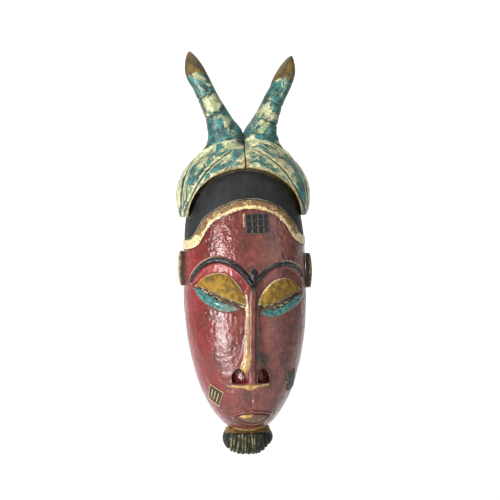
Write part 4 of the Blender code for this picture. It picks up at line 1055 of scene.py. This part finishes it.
def slit_tool(name):
    """A lens-shaped cutter through the wall under an eyelid."""
    line = SLITS[name]
    run = np.linspace(0, 1, len(line))
    half = 1.35 * np.sqrt(np.sin(np.pi * np.clip(run, 0.02, 0.98)))
    upper = [(x, z + h) for (x, z), h in zip(line, half)]
    lower = [(x, z - h) for (x, z), h in zip(line, half)]
    outline = upper + lower[::-1]
    tool = prism("slit_tool", outline, -95, -34)
    points = get_points(tool.data)
    points[:, 2] += (points[:, 1] + 58) * 0.5
    set_points(tool.data, points)
    # The cut walls take near-black paint, a painted shade inside the slit.
    tool.data.materials.append(bpy.data.materials["slit_shade_paint"])
    return tool


def make_face(colours):
    def warp(level, x):
        top = hairline(x) + 0.3
        share = np.clip((level - BROW_LINE) / (FACE_TOP - BROW_LINE), 0, 1)
        return np.where(level > BROW_LINE, BROW_LINE + share * (top - BROW_LINE), level)

    mesh = sheet("face", HEAD, face_levels(), warp, FACE_COLUMNS)
    carve_face(mesh)
    mark_edges(mesh)
    bm, skin = close_to_wall(mesh)
    bmesh.ops.triangle_fill(bm, use_beauty=True, edges=open_edges(bm) + bowl(bm, CAVITY))
    for face in bm.faces:
        face.material_index = int(face not in skin)
    obj = new_object("carved_face", mesh_of(bm, "carved_face"))
    obj.data.materials.append(face_finish(colours))
    obj.data.materials.append(wood_finish("hollow_wood", (0.42, 0.27, 0.14), (0.2, 0.11, 0.05)))
    # Near-black paint for the cut walls of the slits: painted shade.
    new_material("slit_shade_paint", Base_Color=(0.012, 0.012, 0.01, 1), Roughness=0.7)
    for name in SLITS:
        boolean(obj, slit_tool(name))
    return finish_piece(obj, "face_shell", "red_paint")


# ------------------------------------------------------------------ hair and band


def stadium(half_length, half_height, centre_z, steps=12):
    """A bar with round ends, as an outline."""
    turns = np.linspace(-np.pi / 2, np.pi / 2, steps)
    flat = half_length - half_height
    right = [(flat + half_height * np.cos(a), centre_z + half_height * np.sin(a)) for a in turns]
    return right + [(-x, 2 * centre_z - z) for x, z in right]


def make_hair(colours):
    crown_rows = CROWN - 3 * (1 - np.linspace(0, 0.985, 18)) ** 2
    levels = np.concatenate([np.linspace(HAIR_FOOT, 37, 66), crown_rows])

    def warp(level, x):
        low = hairline(x) - 0.3
        return low + (level - HAIR_FOOT) / (CROWN - HAIR_FOOT) * (CROWN - low)

    mesh = sheet("hair", HEAD, levels, warp, FORM_COLUMNS)
    points = get_points(mesh)
    x, z = points[:, 0], points[:, 2]
    away, share, _ = to_line(x, z, BAND[:, :2])
    off = away - along_line(share, BAND, 2)
    lift = wander(points, 22, 11) * 0.5 + wander(points, 8, 12) * 0.15
    lift_points(mesh, points, lift - 0.7 * hump(np.abs(off - 2.4), 0.9))
    mark(mesh, "cream", 0.42 - np.abs(off - 1.3) - 0.5 * wander(points, 14, 4))
    # Painted shade: a dark line in the groove above the band.
    mark(mesh, "crease", 0.5 - np.abs(off - 2.4))
    under_crest = (1 - np.hypot(x / 56.4, np.maximum(z - CREST_LOW[2], 0) / 46.2)) * 50
    smear = 1.5 - np.abs(under_crest - 1.2) + 1.2 * wander(points, 9, 13)
    mark(mesh, "smear", smear - 6 * ease(CREST_LOW[2] - z, 0, 8))
    mark_edges(mesh)
    bm, skin = close_to_wall(mesh)
    bmesh.ops.contextual_create(bm, geom=open_edges(bm))
    for face in bm.faces:
        face.material_index = int(face not in skin)
    bmesh.ops.triangulate(bm, faces=[f for f in bm.faces if len(f.verts) > 4])
    obj = new_object("hair", mesh_of(bm, "hair"))
    obj.data.materials.append(hair_finish(colours))
    obj.data.materials.append(wood_finish("back_wood", (0.46, 0.3, 0.16), (0.24, 0.14, 0.07)))
    boolean(obj, prism("recess_tool", stadium(25.3, 8.3, PLATE_HEIGHT), -4.2, BEHIND))
    upright = [(z - PLATE_HEIGHT, PLATE_HEIGHT + x) for x, z in stadium(9.5, 5.7, PLATE_HEIGHT)]
    boolean(obj, prism("pocket_tool", upright, -11.2, BEHIND))
    return finish_piece(obj, "hair_cap", "black_paint")


def make_band(colours):
    """A strip with rounded edges, bent over the head in its channel."""
    sections = len(BAND) - 1
    mesh, flat = grid("band", sections, 28)
    index = np.rint((flat[:, 0] + 1) / 2 * sections).astype(int)
    turn = (flat[:, 1] + 1) * np.pi
    line = BAND[index]
    ahead = BAND[np.minimum(index + 1, sections)] - BAND[np.maximum(index - 1, 0)]
    length = np.hypot(ahead[:, 0], ahead[:, 1])
    normal = np.stack([-ahead[:, 1] / length, ahead[:, 0] / length], 1)
    wobble = wander(np.stack([index * 0.9, turn * 0, turn * 0], 1), 4, 21) * 0.35
    side, rise = signed_power(np.cos(turn), 0.5), signed_power(np.sin(turn), 0.62)
    half = line[:, 2] + wobble
    x = line[:, 0] + normal[:, 0] * side * half
    z = line[:, 1] + normal[:, 1] * side * half
    inside = np.clip(np.abs(x) / (HEAD.half(z) - 0.4), 0, 1)
    over = np.abs(x) > HEAD.half(z) - 0.4
    x = np.where(over, np.sign(x) * (HEAD.half(z) - 0.4), x)
    out = np.where(rise > 0, size("band_rise") * rise, 3 * rise)
    base_y = -HEAD.ahead(z) * (1 - inside**SECTION) ** (1 / SECTION)
    spread = np.clip(inside, 0, 1) ** 5
    points = np.stack([x + np.sign(x) * out * spread, base_y - out * (1 - spread) ** 0.5, z], 1)
    points[:, 1] = np.minimum(points[:, 1], 0)
    set_points(mesh, points)
    bm = bmesh.new()
    bm.from_mesh(mesh)
    bmesh.ops.remove_doubles(bm, verts=bm.verts[:], dist=1e-6)
    bmesh.ops.holes_fill(bm, edges=open_edges(bm), sides=0)
    obj = new_object("headband_strip", mesh_of(bm, "headband_strip"))
    modify(obj, "SUBSURF", levels=1, render_levels=1)
    points = get_points(obj.data)
    lift_points(obj.data, points, wander(points, 3.2, 31) * 0.45 + wander(points, 11, 32) * 0.3)
    away, share, side = to_line(points[:, 0], points[:, 2], BAND[:, :2])
    up = away * side
    # Painted shade: the upper half of the band is marked to be darkened.
    mark(obj.data, "upper", up)
    feet = np.maximum(0.135 - share, share - 0.895) * 160
    # Painted highlight along the lower edge, and pale paint at the two ends.
    bright = np.maximum(1.1 - np.abs(up + 2.3) + 0.8 * wander(points, 7, 33), feet - 0.4 * np.maximum(up, 0))
    mark(obj.data, "bright", bright)
    mark_edges(obj.data)
    return finish_piece(obj, "headband", "gold_paint", gold_finish(colours))


# ------------------------------------------------------------------ crest


# Each horn: its middle line, its width across and its half depth, from the root to the tip.
HORNS = {
    "left": smooth_line([
        (-14, 26, 42, 18), (-16.8, 44, 37, 17), (-17.7, 54, 36.4, 15.6), (-22, 65, 28.6, 13.6),
        (-27.2, 78, 23.4, 12), (-33.4, 91, 20.8, 10.8), (-39.2, 103.5, 20, 10), (-44.8, 115, 20.4, 9.4),
        (-47.8, 122, 19, 8.6), (-49.8, 129, 14.6, 6.8), (-51.4, 135.6, 8, 4.2), (-52.2, 139.8, 1.6, 1.2),
    ]),
    "right": smooth_line([
        (14, 24, 42, 18), (16.6, 43, 37, 17), (17.4, 53.5, 36, 15.6), (21, 64, 28.2, 13.6),
        (25.2, 75, 23.4, 12), (30.2, 86.5, 21, 10.8), (35.8, 98, 20.2, 10), (41.2, 109.2, 20, 9.4),
        (44.2, 116.2, 18.6, 8.6), (46.8, 123, 14.6, 6.8), (49, 129.8, 8, 4.2), (50.2, 134, 1.6, 1.2),
    ]),
}
HORN_BACK = 18
HORN_RINGS = {"left": (0.6, 0.435), "right": (0.56, 0.395)}


def horn_form(name):
    """A horn as rounds bridged from its root to its tip."""
    line = HORNS[name]
    bm = bmesh.new()
    loops = []
    for i in range(0, len(line), 2):
        x, z, width, deep = line[i]
        ahead = line[min(i + 1, len(line) - 1)] - line[max(i - 1, 0)]
        tilt = Matrix.Rotation(math.atan2(ahead[0], ahead[1]), 4, "Y")
        size = Matrix.Diagonal((width / 2 * MM, deep * MM, 1, 1))
        place = Matrix.Translation(Vector((x, -HORN_BACK, z)) * MM) @ tilt @ size
        made = bmesh.ops.create_circle(bm, segments=28, radius=1, matrix=place)
        loops.append(list({edge for vert in made["verts"] for edge in vert.link_edges}))
    for low, high in zip(loops, loops[1:]):
        bmesh.ops.bridge_loops(bm, edges=low + high)
    for end in (loops[0], loops[-1]):
        bmesh.ops.contextual_create(bm, geom=end)
    return solid("horn_form", bm)


def block(name, low, high):
    bm = bmesh.new()
    size = (np.array(high) - np.array(low)) * MM
    middle = Vector((np.array(high) + np.array(low)) / 2 * MM)
    bmesh.ops.create_cube(bm, size=1, matrix=Matrix.Translation(middle) @ Matrix.Diagonal((*size, 1)))
    return solid(name, bm)


def half_ring(half_width, height, centre_z, low_z, steps=48):
    """An upright half oval with its feet carried straight down."""
    turns = np.linspace(np.pi, 0, steps)
    arch = [(half_width * np.cos(a), centre_z + height * np.sin(a)) for a in turns]
    return [(-half_width, low_z)] + arch + [(half_width, low_z)]


def join_mesh(obj, other):
    """Puts the mesh of another object into obj, side by side, and removes the other."""
    bm = bmesh.new()
    bm.from_mesh(obj.data)
    bm.from_mesh(other.data)
    bpy.data.objects.remove(other, do_unlink=True)
    bm.to_mesh(obj.data)
    bm.free()


# The two long grooves of each half, for the left one.
CREST_GROOVES = (
    smooth_line([(-33, 46), (-45, 37.5), (-55, 24.5), (-61, 8.5), (-63.6, -8), (-64.2, -26)]),
    smooth_line([(-13, 38.5), (-26, 29.5), (-37, 19.5), (-46, 7), (-53.5, -6), (-59, -18), (-61, -26)]),
)


def crest_half(name, sign, finish):
    """Half of the crest in one with its horn, cut at the seam and seated on the head."""
    foot = CREST_LOW[2]
    obj = solid_oval(f"crest_and_horn_{name}", CREST)
    horn = horn_form(name)
    near, far = sorted((sign * SEAM, sign * 90))
    for form in (obj, horn):
        boolean(form, block("half", [near, -80, foot], [far, BEHIND, 150]), "INTERSECT")
    arch = half_ring(56.4, 46.2, foot, foot - 10)
    boolean(obj, prism("arch_tool", arch, -90, BEHIND))
    boolean(obj, solid_oval("seat_tool", HEAD.grown(0.1), BEHIND))
    web = [(-50, 31), (-45, 37.2), (-39.5, 42.4), (-36.2, 47.3), (-34.8, 54), (-28, 54), (-28, 30), (-50, 30)]
    join_mesh(obj, horn)
    join_mesh(obj, prism("web", [(-sign * x, z) for x, z in web], -24, -0.6))
    melt(obj, CREST_SKIN, 3)
    soften(obj, (((sign * 37.5, -7, 46.5), 18, 110), ((sign * 24, -34, 50), 16, 200)))
    mesh = obj.data
    points = get_points(mesh)
    normals = get_normals(mesh)
    x, y, z = points.T
    horn_line = HORNS[name]
    away, share, side = to_line(x, z, horn_line[:, :2])
    reach = np.hypot(np.diff(horn_line[:, 0]), np.diff(horn_line[:, 1])).sum()
    on_horn = ease(z, 48, 62)
    lift = wander(points, 15, 41) * 0.5 + wander(points, 5, 42) * 0.22
    crease = np.full(x.shape, UNMARKED)
    # Grooves that follow the roll of the crest.
    middle, half_width, rise = CREST.centre, CREST.half_width, CREST.rise
    height = np.maximum(z - middle, 0)
    out = np.hypot(x, height * half_width / rise)
    # lit is a paler band beside each groove, a painted highlight.
    lit = np.zeros(x.shape)
    slant = np.clip(-normals[:, 1], 0.85 - 0.5 * ease(z, 28, 38), 1)
    for groove in CREST_GROOVES:
        gap = to_line(-np.abs(x), z, groove)[0] / slant + 9 * (normals[:, 1] > 0.3)
        lift -= size("crest_groove") * hump(gap, 1.7)
        crease = np.maximum(crease, 0.85 - gap)
        lit = np.maximum(lit, hump(np.abs(gap - 2), 1.3))
    for ring in HORN_RINGS[name]:
        bend = 0.5 * np.sin(x * 0.7 + ring * 40)
        gap = np.abs((share - ring) * reach + bend) + 9 * (1 - on_horn)
        gap = gap + 3 * ease(-x * sign - 6.5 + np.abs(np.interp(z, horn_line[:, 1], horn_line[:, 0])), 0, 5)
        lift -= 1.2 * hump(gap, 1.5)
        crease = np.maximum(crease, 0.6 - gap + 0.5 * wander(points, 3, 8))
    facing = np.clip(-normals[:, 1], 0, 1)
    lift_points(mesh, points, lift)
    angle = np.arctan2(z - middle, np.abs(x))
    along = np.where(on_horn > 0.5, share * reach + 60, angle * 60)
    across = np.where(on_horn > 0.5, away * side + y * 0.7, out + y * 0.6)
    mark(mesh, "along", (along + 300 * (sign > 0)) * MM)
    mark(mesh, "across", across * MM)
    rim = hump(np.abs(out - half_width + 1.5), 3) * (1 - on_horn)
    # Where the turquoise is worn through to the cream, with painted highlights beside the grooves.
    worn_and_lit = 0.1 * rim + 0.019 * (1 - on_horn) + 0.02 * facing - 0.05 * (1 - facing) - 0.03 * on_horn
    worn_and_lit += 0.1 * lit
    worn_and_lit += 0.13 * hump(np.abs(share - np.mean(HORN_RINGS[name])), 0.1) * on_horn
    worn_and_lit -= 0.07 * hump(np.abs(z - 50), 14) * ease(np.abs(x), 4, 16)
    mark(mesh, "worn_and_lit", worn_and_lit)
    inner_edge = np.hypot(x / 57.3, np.maximum(z - foot, 0) / 46.2) - 1
    fork = 1 - ease(np.hypot(x * 1.3, (z - 53) * 0.75), 5, 13)
    # Painted shade on the sides turned away, mostly on the horns, and in the fork between the horns.
    turned_shade = np.clip(1.25 - facing * 1.25, 0, 1) * (1 - rim) * (0.15 + 0.85 * on_horn)
    mark(mesh, "turned_shade", np.maximum(turned_shade, 0.9 * fork))
    gold = 1.3 - inner_edge * 50 + wander(points, 6, 14) - 1.2 * ease(np.abs(x), 24, 50)
    gold = np.maximum(gold, 3.4 - np.hypot(x * 0.8, (z - 25) * 0.7))
    mark(mesh, "gold", gold)
    tip_z = horn_line[-1][1]
    mark(mesh, "tip", z - (tip_z - 24) + 0.45 * away - 2)
    seam = 0.3 - np.abs(np.abs(x) - 0.3) - 3 * ease(y, -12, 0)
    # The crease mark: painted shade in the grooves and rings, and a dark joint line at the seam.
    mark(mesh, "crease", np.maximum(crease, seam))
    mark_edges(mesh, 3)
    return finish_piece(obj, f"crest_{name}", "turquoise_paint", finish)


def make_crest(colours):
    finish = crest_finish(colours)
    return [obj for name, sign in SIDES for obj in crest_half(name, sign, finish)]


# ------------------------------------------------------------------ ears, beard and tablets


def make_ears(colours):
    finish = ear_finish()
    made = []
    for name, sign in SIDES:
        low, high = box_mm(f"ear_{name}")
        low[1] += EAR_SETBACK
        skin = float(HEAD.half((low[2] + high[2]) / 2))
        outer = max(abs(low[0]), abs(high[0]))
        middle = (low + high) / 2
        bm = bmesh.new()
        bmesh.ops.create_cube(bm, size=1)
        bmesh.ops.subdivide_edges(bm, edges=bm.edges[:], cuts=9, use_grid_fill=True)
        width = outer - skin + 7
        for v in bm.verts:
            v.co.x *= width * MM
            v.co.y *= (high[1] - low[1]) * MM
            v.co.z *= (high[2] - low[2]) * MM
            lean = v.co.z / ((high[2] - low[2]) * MM / 2)
            v.co.x -= sign * 1.6 * MM * abs(lean) ** 3
            v.co.y *= 1 - 0.18 * abs(lean) ** 3
            v.co.y += 1.2 * MM * lean
        place = Vector((sign * (outer - width / 2), middle[1], middle[2])) * MM
        bmesh.ops.translate(bm, verts=bm.verts[:], vec=place)
        obj = new_object(f"ear_lug_{name}", mesh_of(bm, "ear"))
        melt(obj, EAR_SKIN, 5)
        boolean(obj, solid_oval("ear_seat", HEAD.grown(0.3), BEHIND))
        mesh = obj.data
        points = get_points(mesh)
        normals = get_normals(mesh)
        share = (points - middle) / (high - middle)
        inner = 1 - np.hypot(share[:, 1], share[:, 2])
        outward = np.clip(normals[:, 0] * sign, 0, 1)
        lift = wander(points, 8, 51) * 0.35 - 1.8 * ease(inner, 0.25, 0.5) * outward
        lift_points(mesh, points, lift)
        front = (-normals[:, 1] > 0.35).astype(float)
        rim = 1.6 - np.abs(np.abs(points[:, 0]) - outer + 1)
        mark(mesh, "gold", np.maximum(inner * 8 - 1.2, front * rim))
        mark_edges(mesh, 3)
        made += finish_piece(obj, f"ear_{name}", "ochre_paint", finish)
    return made


# Each groove of the beard: its place across and its width.
BEARD_GROOVES = (
    (-20.4, 1.3), (-16.6, 1), (-12.6, 1.5), (-8.4, 1.1), (-4.6, 1.2), (-1.6, 0.9),
    (2.4, 1.4), (5.6, 1.1), (9.4, 0.9), (13, 1.2), (17.2, 0.9), (21, 1.1),
)


def make_beard(colours):
    low = BEARD_LOW[2]
    top = BEARD_HIGH[2] - 3
    levels = low + 0.05 + (top - low - 0.05) * np.linspace(0, 1, 74) ** 1.25
    mesh = sheet("beard", BEARD, levels, lambda level, x: level, FORM_COLUMNS)
    points = get_points(mesh)
    normals = get_normals(mesh)
    x, z = points[:, 0], points[:, 2]
    fan = x / np.maximum(1 - 0.004 * (z - low), 0.7)
    lift = wander(points, 10, 61) * 0.4
    groove = np.full(x.shape, UNMARKED)
    for i, (place, width) in enumerate(BEARD_GROOVES):
        bend = place + 0.5 * np.sin(z * 0.19 + i * 2.1)
        gap = np.abs(fan - bend)
        start = ease(-z, 240.5 + (i % 3) * 1, 243.5 + (i % 3))
        lift -= size("beard_groove") * hump(gap, width * 1.35) * start
        groove = np.maximum(groove, np.where(start > 0.3, width * 0.46 - gap, UNMARKED))
    moved = points + normals * lift[:, None]
    moved[:, 1] *= 1 - 0.45 * ease(z + 0.004 * x**2, -243.5, -236.5)
    moved[:, 0] *= 1 - 0.12 * ease(z, -248, -238)
    moved[:, 2] += ease(-z, 246, 262) * (3.4 * ease(x, 8, 24) + 0.6 * ease(-x, 12, 25))
    set_points(mesh, moved)
    groove -= 1.2 * ease(x, 6, 20)
    mark(mesh, "groove", groove)
    mark(mesh, "gold", z + 241.6 + 0.003 * x**2)
    mark_edges(mesh)
    bm, skin = close_to_wall(mesh)
    bmesh.ops.contextual_create(bm, geom=open_edges(bm))
    bmesh.ops.triangulate(bm, faces=[f for f in bm.faces if len(f.verts) > 4])
    for face in bm.faces:
        if face not in skin and abs(face.normal.y) > 0.9:
            face.material_index = 1
    obj = new_object("beard_tuft", mesh_of(bm, "beard_tuft"))
    obj.data.materials.append(beard_finish())
    obj.data.materials.append(bpy.data.materials["back_wood"])
    boolean(obj, solid_oval("chin_tool", HEAD.grown(0.3), BEHIND))
    return finish_piece(obj, "beard", "black_paint")


def round_the_head(z):
    """Places across the head at height z, and their distance round the skin from the middle line."""
    half = float(HEAD.half(z)) - 0.6
    places = half * np.sin(np.linspace(-np.pi / 2, np.pi / 2, 241))
    length = np.concatenate([[0], np.cumsum(np.hypot(np.diff(places), np.diff(HEAD.front(places, z))))])
    return places, length - length[120]


def skin_point(x, z, out):
    """A place on the head's skin, moved out along its normal."""
    step = 0.4
    here = Vector((x, float(HEAD.front(x, z)), z))
    across = Vector((2 * step, float(HEAD.front(x + step, z) - HEAD.front(x - step, z)), 0))
    up = Vector((0, float(HEAD.front(x, z + step) - HEAD.front(x, z - step)), 2 * step))
    normal = across.cross(up).normalized()
    return here + normal * out


def make_tablet(name, centre, half, roll, bars, finish, slot):
    """A plate that follows the skin, with a raised rim and bars inside it."""
    pitch = 0.42
    mesh, flat = grid(name, int(2 * half[0] / pitch), int(2 * half[1] / pitch))
    u, v = flat[:, 0] * half[0], flat[:, 1] * half[1]
    edge = np.minimum(half[0] - np.abs(u), half[1] - np.abs(v))
    raised = 0.9 - edge + 0.15 * wander(np.stack([u, v, u * 0], 1), 2, 5)
    for low_u, low_v, high_u, high_v in bars:
        inside = np.minimum(np.minimum(u - low_u, high_u - u), np.minimum(v - low_v, high_v - v))
        raised = np.maximum(raised, inside)
    height = 0.3 + size("bar_rise") * ease(raised, -0.3, 0.35) - 0.9 * ease(-edge, -0.4, 0.1)
    cos, sin = math.cos(roll), math.sin(roll)
    points = []
    middle = np.interp(centre[0], *round_the_head(centre[1]))
    for i in range(len(u)):
        z = centre[1] + u[i] * sin + v[i] * cos
        places, length = round_the_head(z)
        x = float(np.interp(middle + u[i] * cos - v[i] * sin, length, places))
        points.append(skin_point(x, z, height[i]))
    set_points(mesh, np.array(points))
    mark(mesh, "bars", raised)
    mark_edges(mesh)
    obj = new_object(name, mesh)
    if sum(get_normals(mesh)[:, 1]) > 0:
        mesh.flip_normals()
    modify(obj, "SOLIDIFY", thickness=2.4 * MM, offset=-1, use_even_offset=False)
    return finish_piece(obj, name.replace("_plate", ""), slot, finish)


def bar_grid(half, rows, columns, gap_u, gap_v, rim):
    """A grid of bars inside the rim of a plate."""
    made = []
    wide = 2 * (half[0] - rim) / columns
    tall = 2 * (half[1] - rim) / rows
    for column in range(columns):
        for row in range(rows):
            u = -half[0] + rim + column * wide
            v = -half[1] + rim + row * tall
            made.append((u + gap_u, v + gap_v, u + wide - gap_u, v + tall - gap_v))
    return made


def make_tablets(colours):
    black = (0.009, 0.01, 0.011)
    dark = tablet_finish("forehead_tablet_paint", (0.035, 0.014, 0.012), black)
    framed = tablet_finish("cheek_tablet_paint", black, tuple(colours.gold))
    shaded = tablet_finish("dark_cheek_tablet_paint", (0.03, 0.028, 0.022), (0.012, 0.014, 0.013))
    grid_bars = bar_grid((11.6, 9.8), 3, 4, 0.45, 0.75, 0.3)
    three_bars = [(u - 0.6, -5, u + 0.6, 5) for u in (-4.4, 0, 4.4)]
    four_bars = bar_grid((6.4, 10), 1, 4, 0.5, 0.4, 0.8)
    plates = (
        ("forehead_tablet", (9.4, -34.6), (11.6, 9.8), 0.02, grid_bars, dark, "black_paint"),
        ("cheek_tablet_left", (-33.8, -202.4), (9.4, 8.4), -0.46, three_bars, framed, "gold_paint"),
        ("cheek_tablet_right", (42, -189.2), (7.6, 10), 0.26, four_bars, shaded, "black_paint"),
    )
    return [obj for node, *values in plates for obj in make_tablet(f"{node}_plate", *values)]


# ------------------------------------------------------------------ hidden pieces and stage


def finish_hidden_pieces():
    """Puts wood on the dowels and zinc on the hanger."""
    wood = wood_finish("dowel_wood", (0.62, 0.45, 0.27), (0.42, 0.27, 0.14))
    steel = steel_finish()
    made = []
    for name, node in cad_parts.items():
        finish = steel if "hanger" in name else wood if "dowel" in name else None
        if finish:
            node.data.materials.clear()
            node.data.materials.append(finish)
            made.append(node)
    return made


def add_light(name, size, energy, place, aim):
    data = bpy.data.lights.new(name, "AREA")
    data.shape = "RECTANGLE"
    data.size, data.size_y = size
    data.energy = energy
    obj = bpy.data.objects.new(name, data)
    obj.location = place
    obj.rotation_euler = (Vector(aim) - Vector(place)).to_track_quat("-Z", "Y").to_euler()
    obj.visible_camera = False
    bpy.context.scene.collection.objects.link(obj)


# The floor, in metres: its height, where it starts and ends bending up and the radius of the bend.
FLOOR_HEIGHT, BEND_START, BEND_END, BEND_RADIUS = -0.52, 1.3, 2.1, 0.51


def make_stage():
    """A pale floor that sweeps up behind the mask, soft light and the camera."""
    bm = bmesh.new()
    bmesh.ops.create_grid(bm, x_segments=1, y_segments=40, size=1)
    for v in bm.verts:
        run = (v.co.y + 1) / 2 * 10 - 4.5
        bend = min(max((run - BEND_START) / (BEND_END - BEND_START), 0), 1) * math.pi / 2
        back = min(run, BEND_START) + BEND_RADIUS * math.sin(bend)
        rise = BEND_RADIUS * (1 - math.cos(bend)) + max(run - BEND_END, 0)
        v.co = Vector((v.co.x * 7, back, FLOOR_HEIGHT + rise))
    floor = new_object("pale_floor", mesh_of(bm, "pale_floor", outward=False))
    floor.data.shade_smooth()
    g = Coats("pale_floor_paint", Roughness=0.9, Specular_IOR_Level=0.2)
    g.put(g.shader.inputs["Base Color"], g.mottle((0.93, 0.93, 0.925), (0.9, 0.9, 0.9), 0.3, 0.7, 3, 3))
    floor.data.materials.append(g.material)

    world = bpy.data.worlds.new("soft_studio")
    world.use_nodes = True
    world.node_tree.nodes["Background"].inputs[0].default_value = (1, 1, 1, 1)
    world.node_tree.nodes["Background"].inputs[1].default_value = 0.2
    scene = bpy.context.scene
    scene.world = world
    scene.view_settings.view_transform = "Standard"
    add_light("key_softbox", (0.24, 0.62), 25, (-1.05, -1.1, -0.2), (0, 0, -0.08))
    add_light("fill_softbox", (0.8, 1.2), 4.6, (1.3, -1.2, 0.2), (0, 0, -0.08))
    add_light("top_softbox", (1.2, 0.8), 8, (-0.1, -0.6, 1.35), (0, 0, 0))
    add_light("back_wash", (2.4, 0.8), 24, (0, 0.7, 1.8), (0, 1.8, 0.3))
    add_light("low_wash", (2.4, 0.8), 15, (0, 0.5, -0.45), (0, 1.8, -0.1))

    data = bpy.data.cameras.new("camera")
    data.lens = 108
    data.sensor_width = 36
    camera = bpy.data.objects.new("camera", data)
    target = Vector((0.0047, -0.02, -0.06))
    yaw, roll, distance = math.radians(4), math.radians(-1.1), 1.5
    away = Vector((-math.sin(yaw), -math.cos(yaw), 0))
    camera.location = target + away * distance
    aim = (-away).to_track_quat("-Z", "Y")
    camera.rotation_euler = (aim.to_matrix() @ Matrix.Rotation(roll, 3, "Z")).to_euler()
    scene.collection.objects.link(camera)
    scene.camera = camera
    return [floor]


# ------------------------------------------------------------------ the add-on


def size(name):
    """One of the settable sizes, in millimetres."""
    return getattr(bpy.context.scene.mask_sizes, name) / MM


def length(label, what, default):
    return FloatProperty(
        name=label, description=what, subtype="DISTANCE", unit="LENGTH", min=0, default=default * MM,
    )


class MaskSizes(bpy.types.PropertyGroup):
    """How far the carving stands out or sinks."""

    brow_rise: length("Brow rise", "How far the brows stand out", 2.8)
    lid_rise: length("Lid rise", "How far the eyelids swell", 4.6)
    lip_rise: length("Lip rise", "How far the mouth stands out", 4.2)
    nose_rise: length("Nose rise", "How far the blade of the nose stands out at its tip", 10.0)
    band_rise: length("Band rise", "How far the headband stands out", 1.5)
    crest_groove: length("Crest groove", "Depth of the long grooves in the crest", 1.3)
    beard_groove: length("Beard groove", "Depth of the grooves in the beard", 1.5)
    bar_rise: length("Bar rise", "How far the bars of the tablets stand out", 0.9)


def paint(label, what, default):
    return FloatVectorProperty(
        name=label, description=what, subtype="COLOR", size=3, min=0, max=1, default=default,
    )


class MaskColours(bpy.types.PropertyGroup):
    """The paints of the mask."""

    red: paint("Red", "Paint of the face", (0.2, 0.024, 0.021))
    bright_red: paint("Bright red", "Paint in the eye sockets", (0.36, 0.042, 0.042))
    black: paint("Black", "Paint of the hair", (0.011, 0.012, 0.013))
    gold: paint("Gold", "Paint of the headband and the worn marks", (0.68, 0.43, 0.15))
    turquoise: paint("Turquoise", "Paint of the crest and under the eyes", (0.016, 0.21, 0.2))
    ochre: paint("Ochre", "Paint of the eyelids", (0.3, 0.172, 0.009))
    cream: paint("Cream", "Ground coat that shows where paint is worn", (0.84, 0.76, 0.48))


class PieceOperator:
    """Makes one piece of the mask in its paints."""

    bl_options = {"REGISTER", "UNDO"}

    def execute(self, context):
        made = self.make(context.scene.mask_colours)
        if not made:
            raise RuntimeError(f"{self.bl_label}: nothing was made")
        for obj in made:
            if not obj.data.polygons:
                raise RuntimeError(f"{self.bl_label}: {obj.name} has no faces")
        return {"FINISHED"}


class MASK_OT_face(PieceOperator, bpy.types.Operator):
    """Carve the red face, hollow behind"""

    bl_idname = "mask.face"
    bl_label = "Face"
    make = staticmethod(make_face)


class MASK_OT_hair(PieceOperator, bpy.types.Operator):
    """Carve the black hair with its flat back"""

    bl_idname = "mask.hair"
    bl_label = "Hair"
    make = staticmethod(make_hair)


class MASK_OT_band(PieceOperator, bpy.types.Operator):
    """Bend the gold band along the hairline"""

    bl_idname = "mask.band"
    bl_label = "Headband"
    make = staticmethod(make_band)


class MASK_OT_crest(PieceOperator, bpy.types.Operator):
    """Carve both halves of the crest, each with its horn"""

    bl_idname = "mask.crest"
    bl_label = "Crest and horns"
    make = staticmethod(make_crest)


class MASK_OT_ears(PieceOperator, bpy.types.Operator):
    """Carve the two ears"""

    bl_idname = "mask.ears"
    bl_label = "Ears"
    make = staticmethod(make_ears)


class MASK_OT_beard(PieceOperator, bpy.types.Operator):
    """Carve the grooved beard"""

    bl_idname = "mask.beard"
    bl_label = "Beard"
    make = staticmethod(make_beard)


class MASK_OT_tablets(PieceOperator, bpy.types.Operator):
    """Lay in the forehead and cheek tablets"""

    bl_idname = "mask.tablets"
    bl_label = "Tablets"
    make = staticmethod(make_tablets)


class MASK_OT_hidden(PieceOperator, bpy.types.Operator):
    """Finish the dowels and the hanger"""

    bl_idname = "mask.hidden"
    bl_label = "Dowels and hanger"

    def make(self, colours):
        return finish_hidden_pieces()


class MASK_OT_stage(PieceOperator, bpy.types.Operator):
    """Set up the floor, the light and the camera"""

    bl_idname = "mask.stage"
    bl_label = "Stage"

    def make(self, colours):
        return make_stage()


OPERATORS = (
    MASK_OT_stage, MASK_OT_face, MASK_OT_hair, MASK_OT_band, MASK_OT_crest,
    MASK_OT_ears, MASK_OT_beard, MASK_OT_tablets, MASK_OT_hidden,
)


class MASK_PT_panel(bpy.types.Panel):
    """The pieces of the mask, in the order they are made"""

    bl_label = "Carved mask"
    bl_space_type = "VIEW_3D"
    bl_region_type = "UI"
    bl_category = "Mask"

    def draw(self, context):
        column = self.layout.column()
        for operator in OPERATORS:
            column.operator(operator.bl_idname)
        for settings in (context.scene.mask_colours, context.scene.mask_sizes):
            for name in settings.__annotations__:
                column.prop(settings, name)


CLASSES = (MaskColours, MaskSizes, *OPERATORS, MASK_PT_panel)


def register():
    for item in CLASSES:
        bpy.utils.register_class(item)
    bpy.types.Scene.mask_colours = PointerProperty(type=MaskColours)
    bpy.types.Scene.mask_sizes = PointerProperty(type=MaskSizes)


def unregister():
    del bpy.types.Scene.mask_sizes
    del bpy.types.Scene.mask_colours
    for item in reversed(CLASSES):
        bpy.utils.unregister_class(item)


def main():
    register()
    build_groups()
    for operator in OPERATORS:
        group, name = operator.bl_idname.split(".")
        getattr(getattr(bpy.ops, group), name)()


if __name__ == "__main__":
    main()
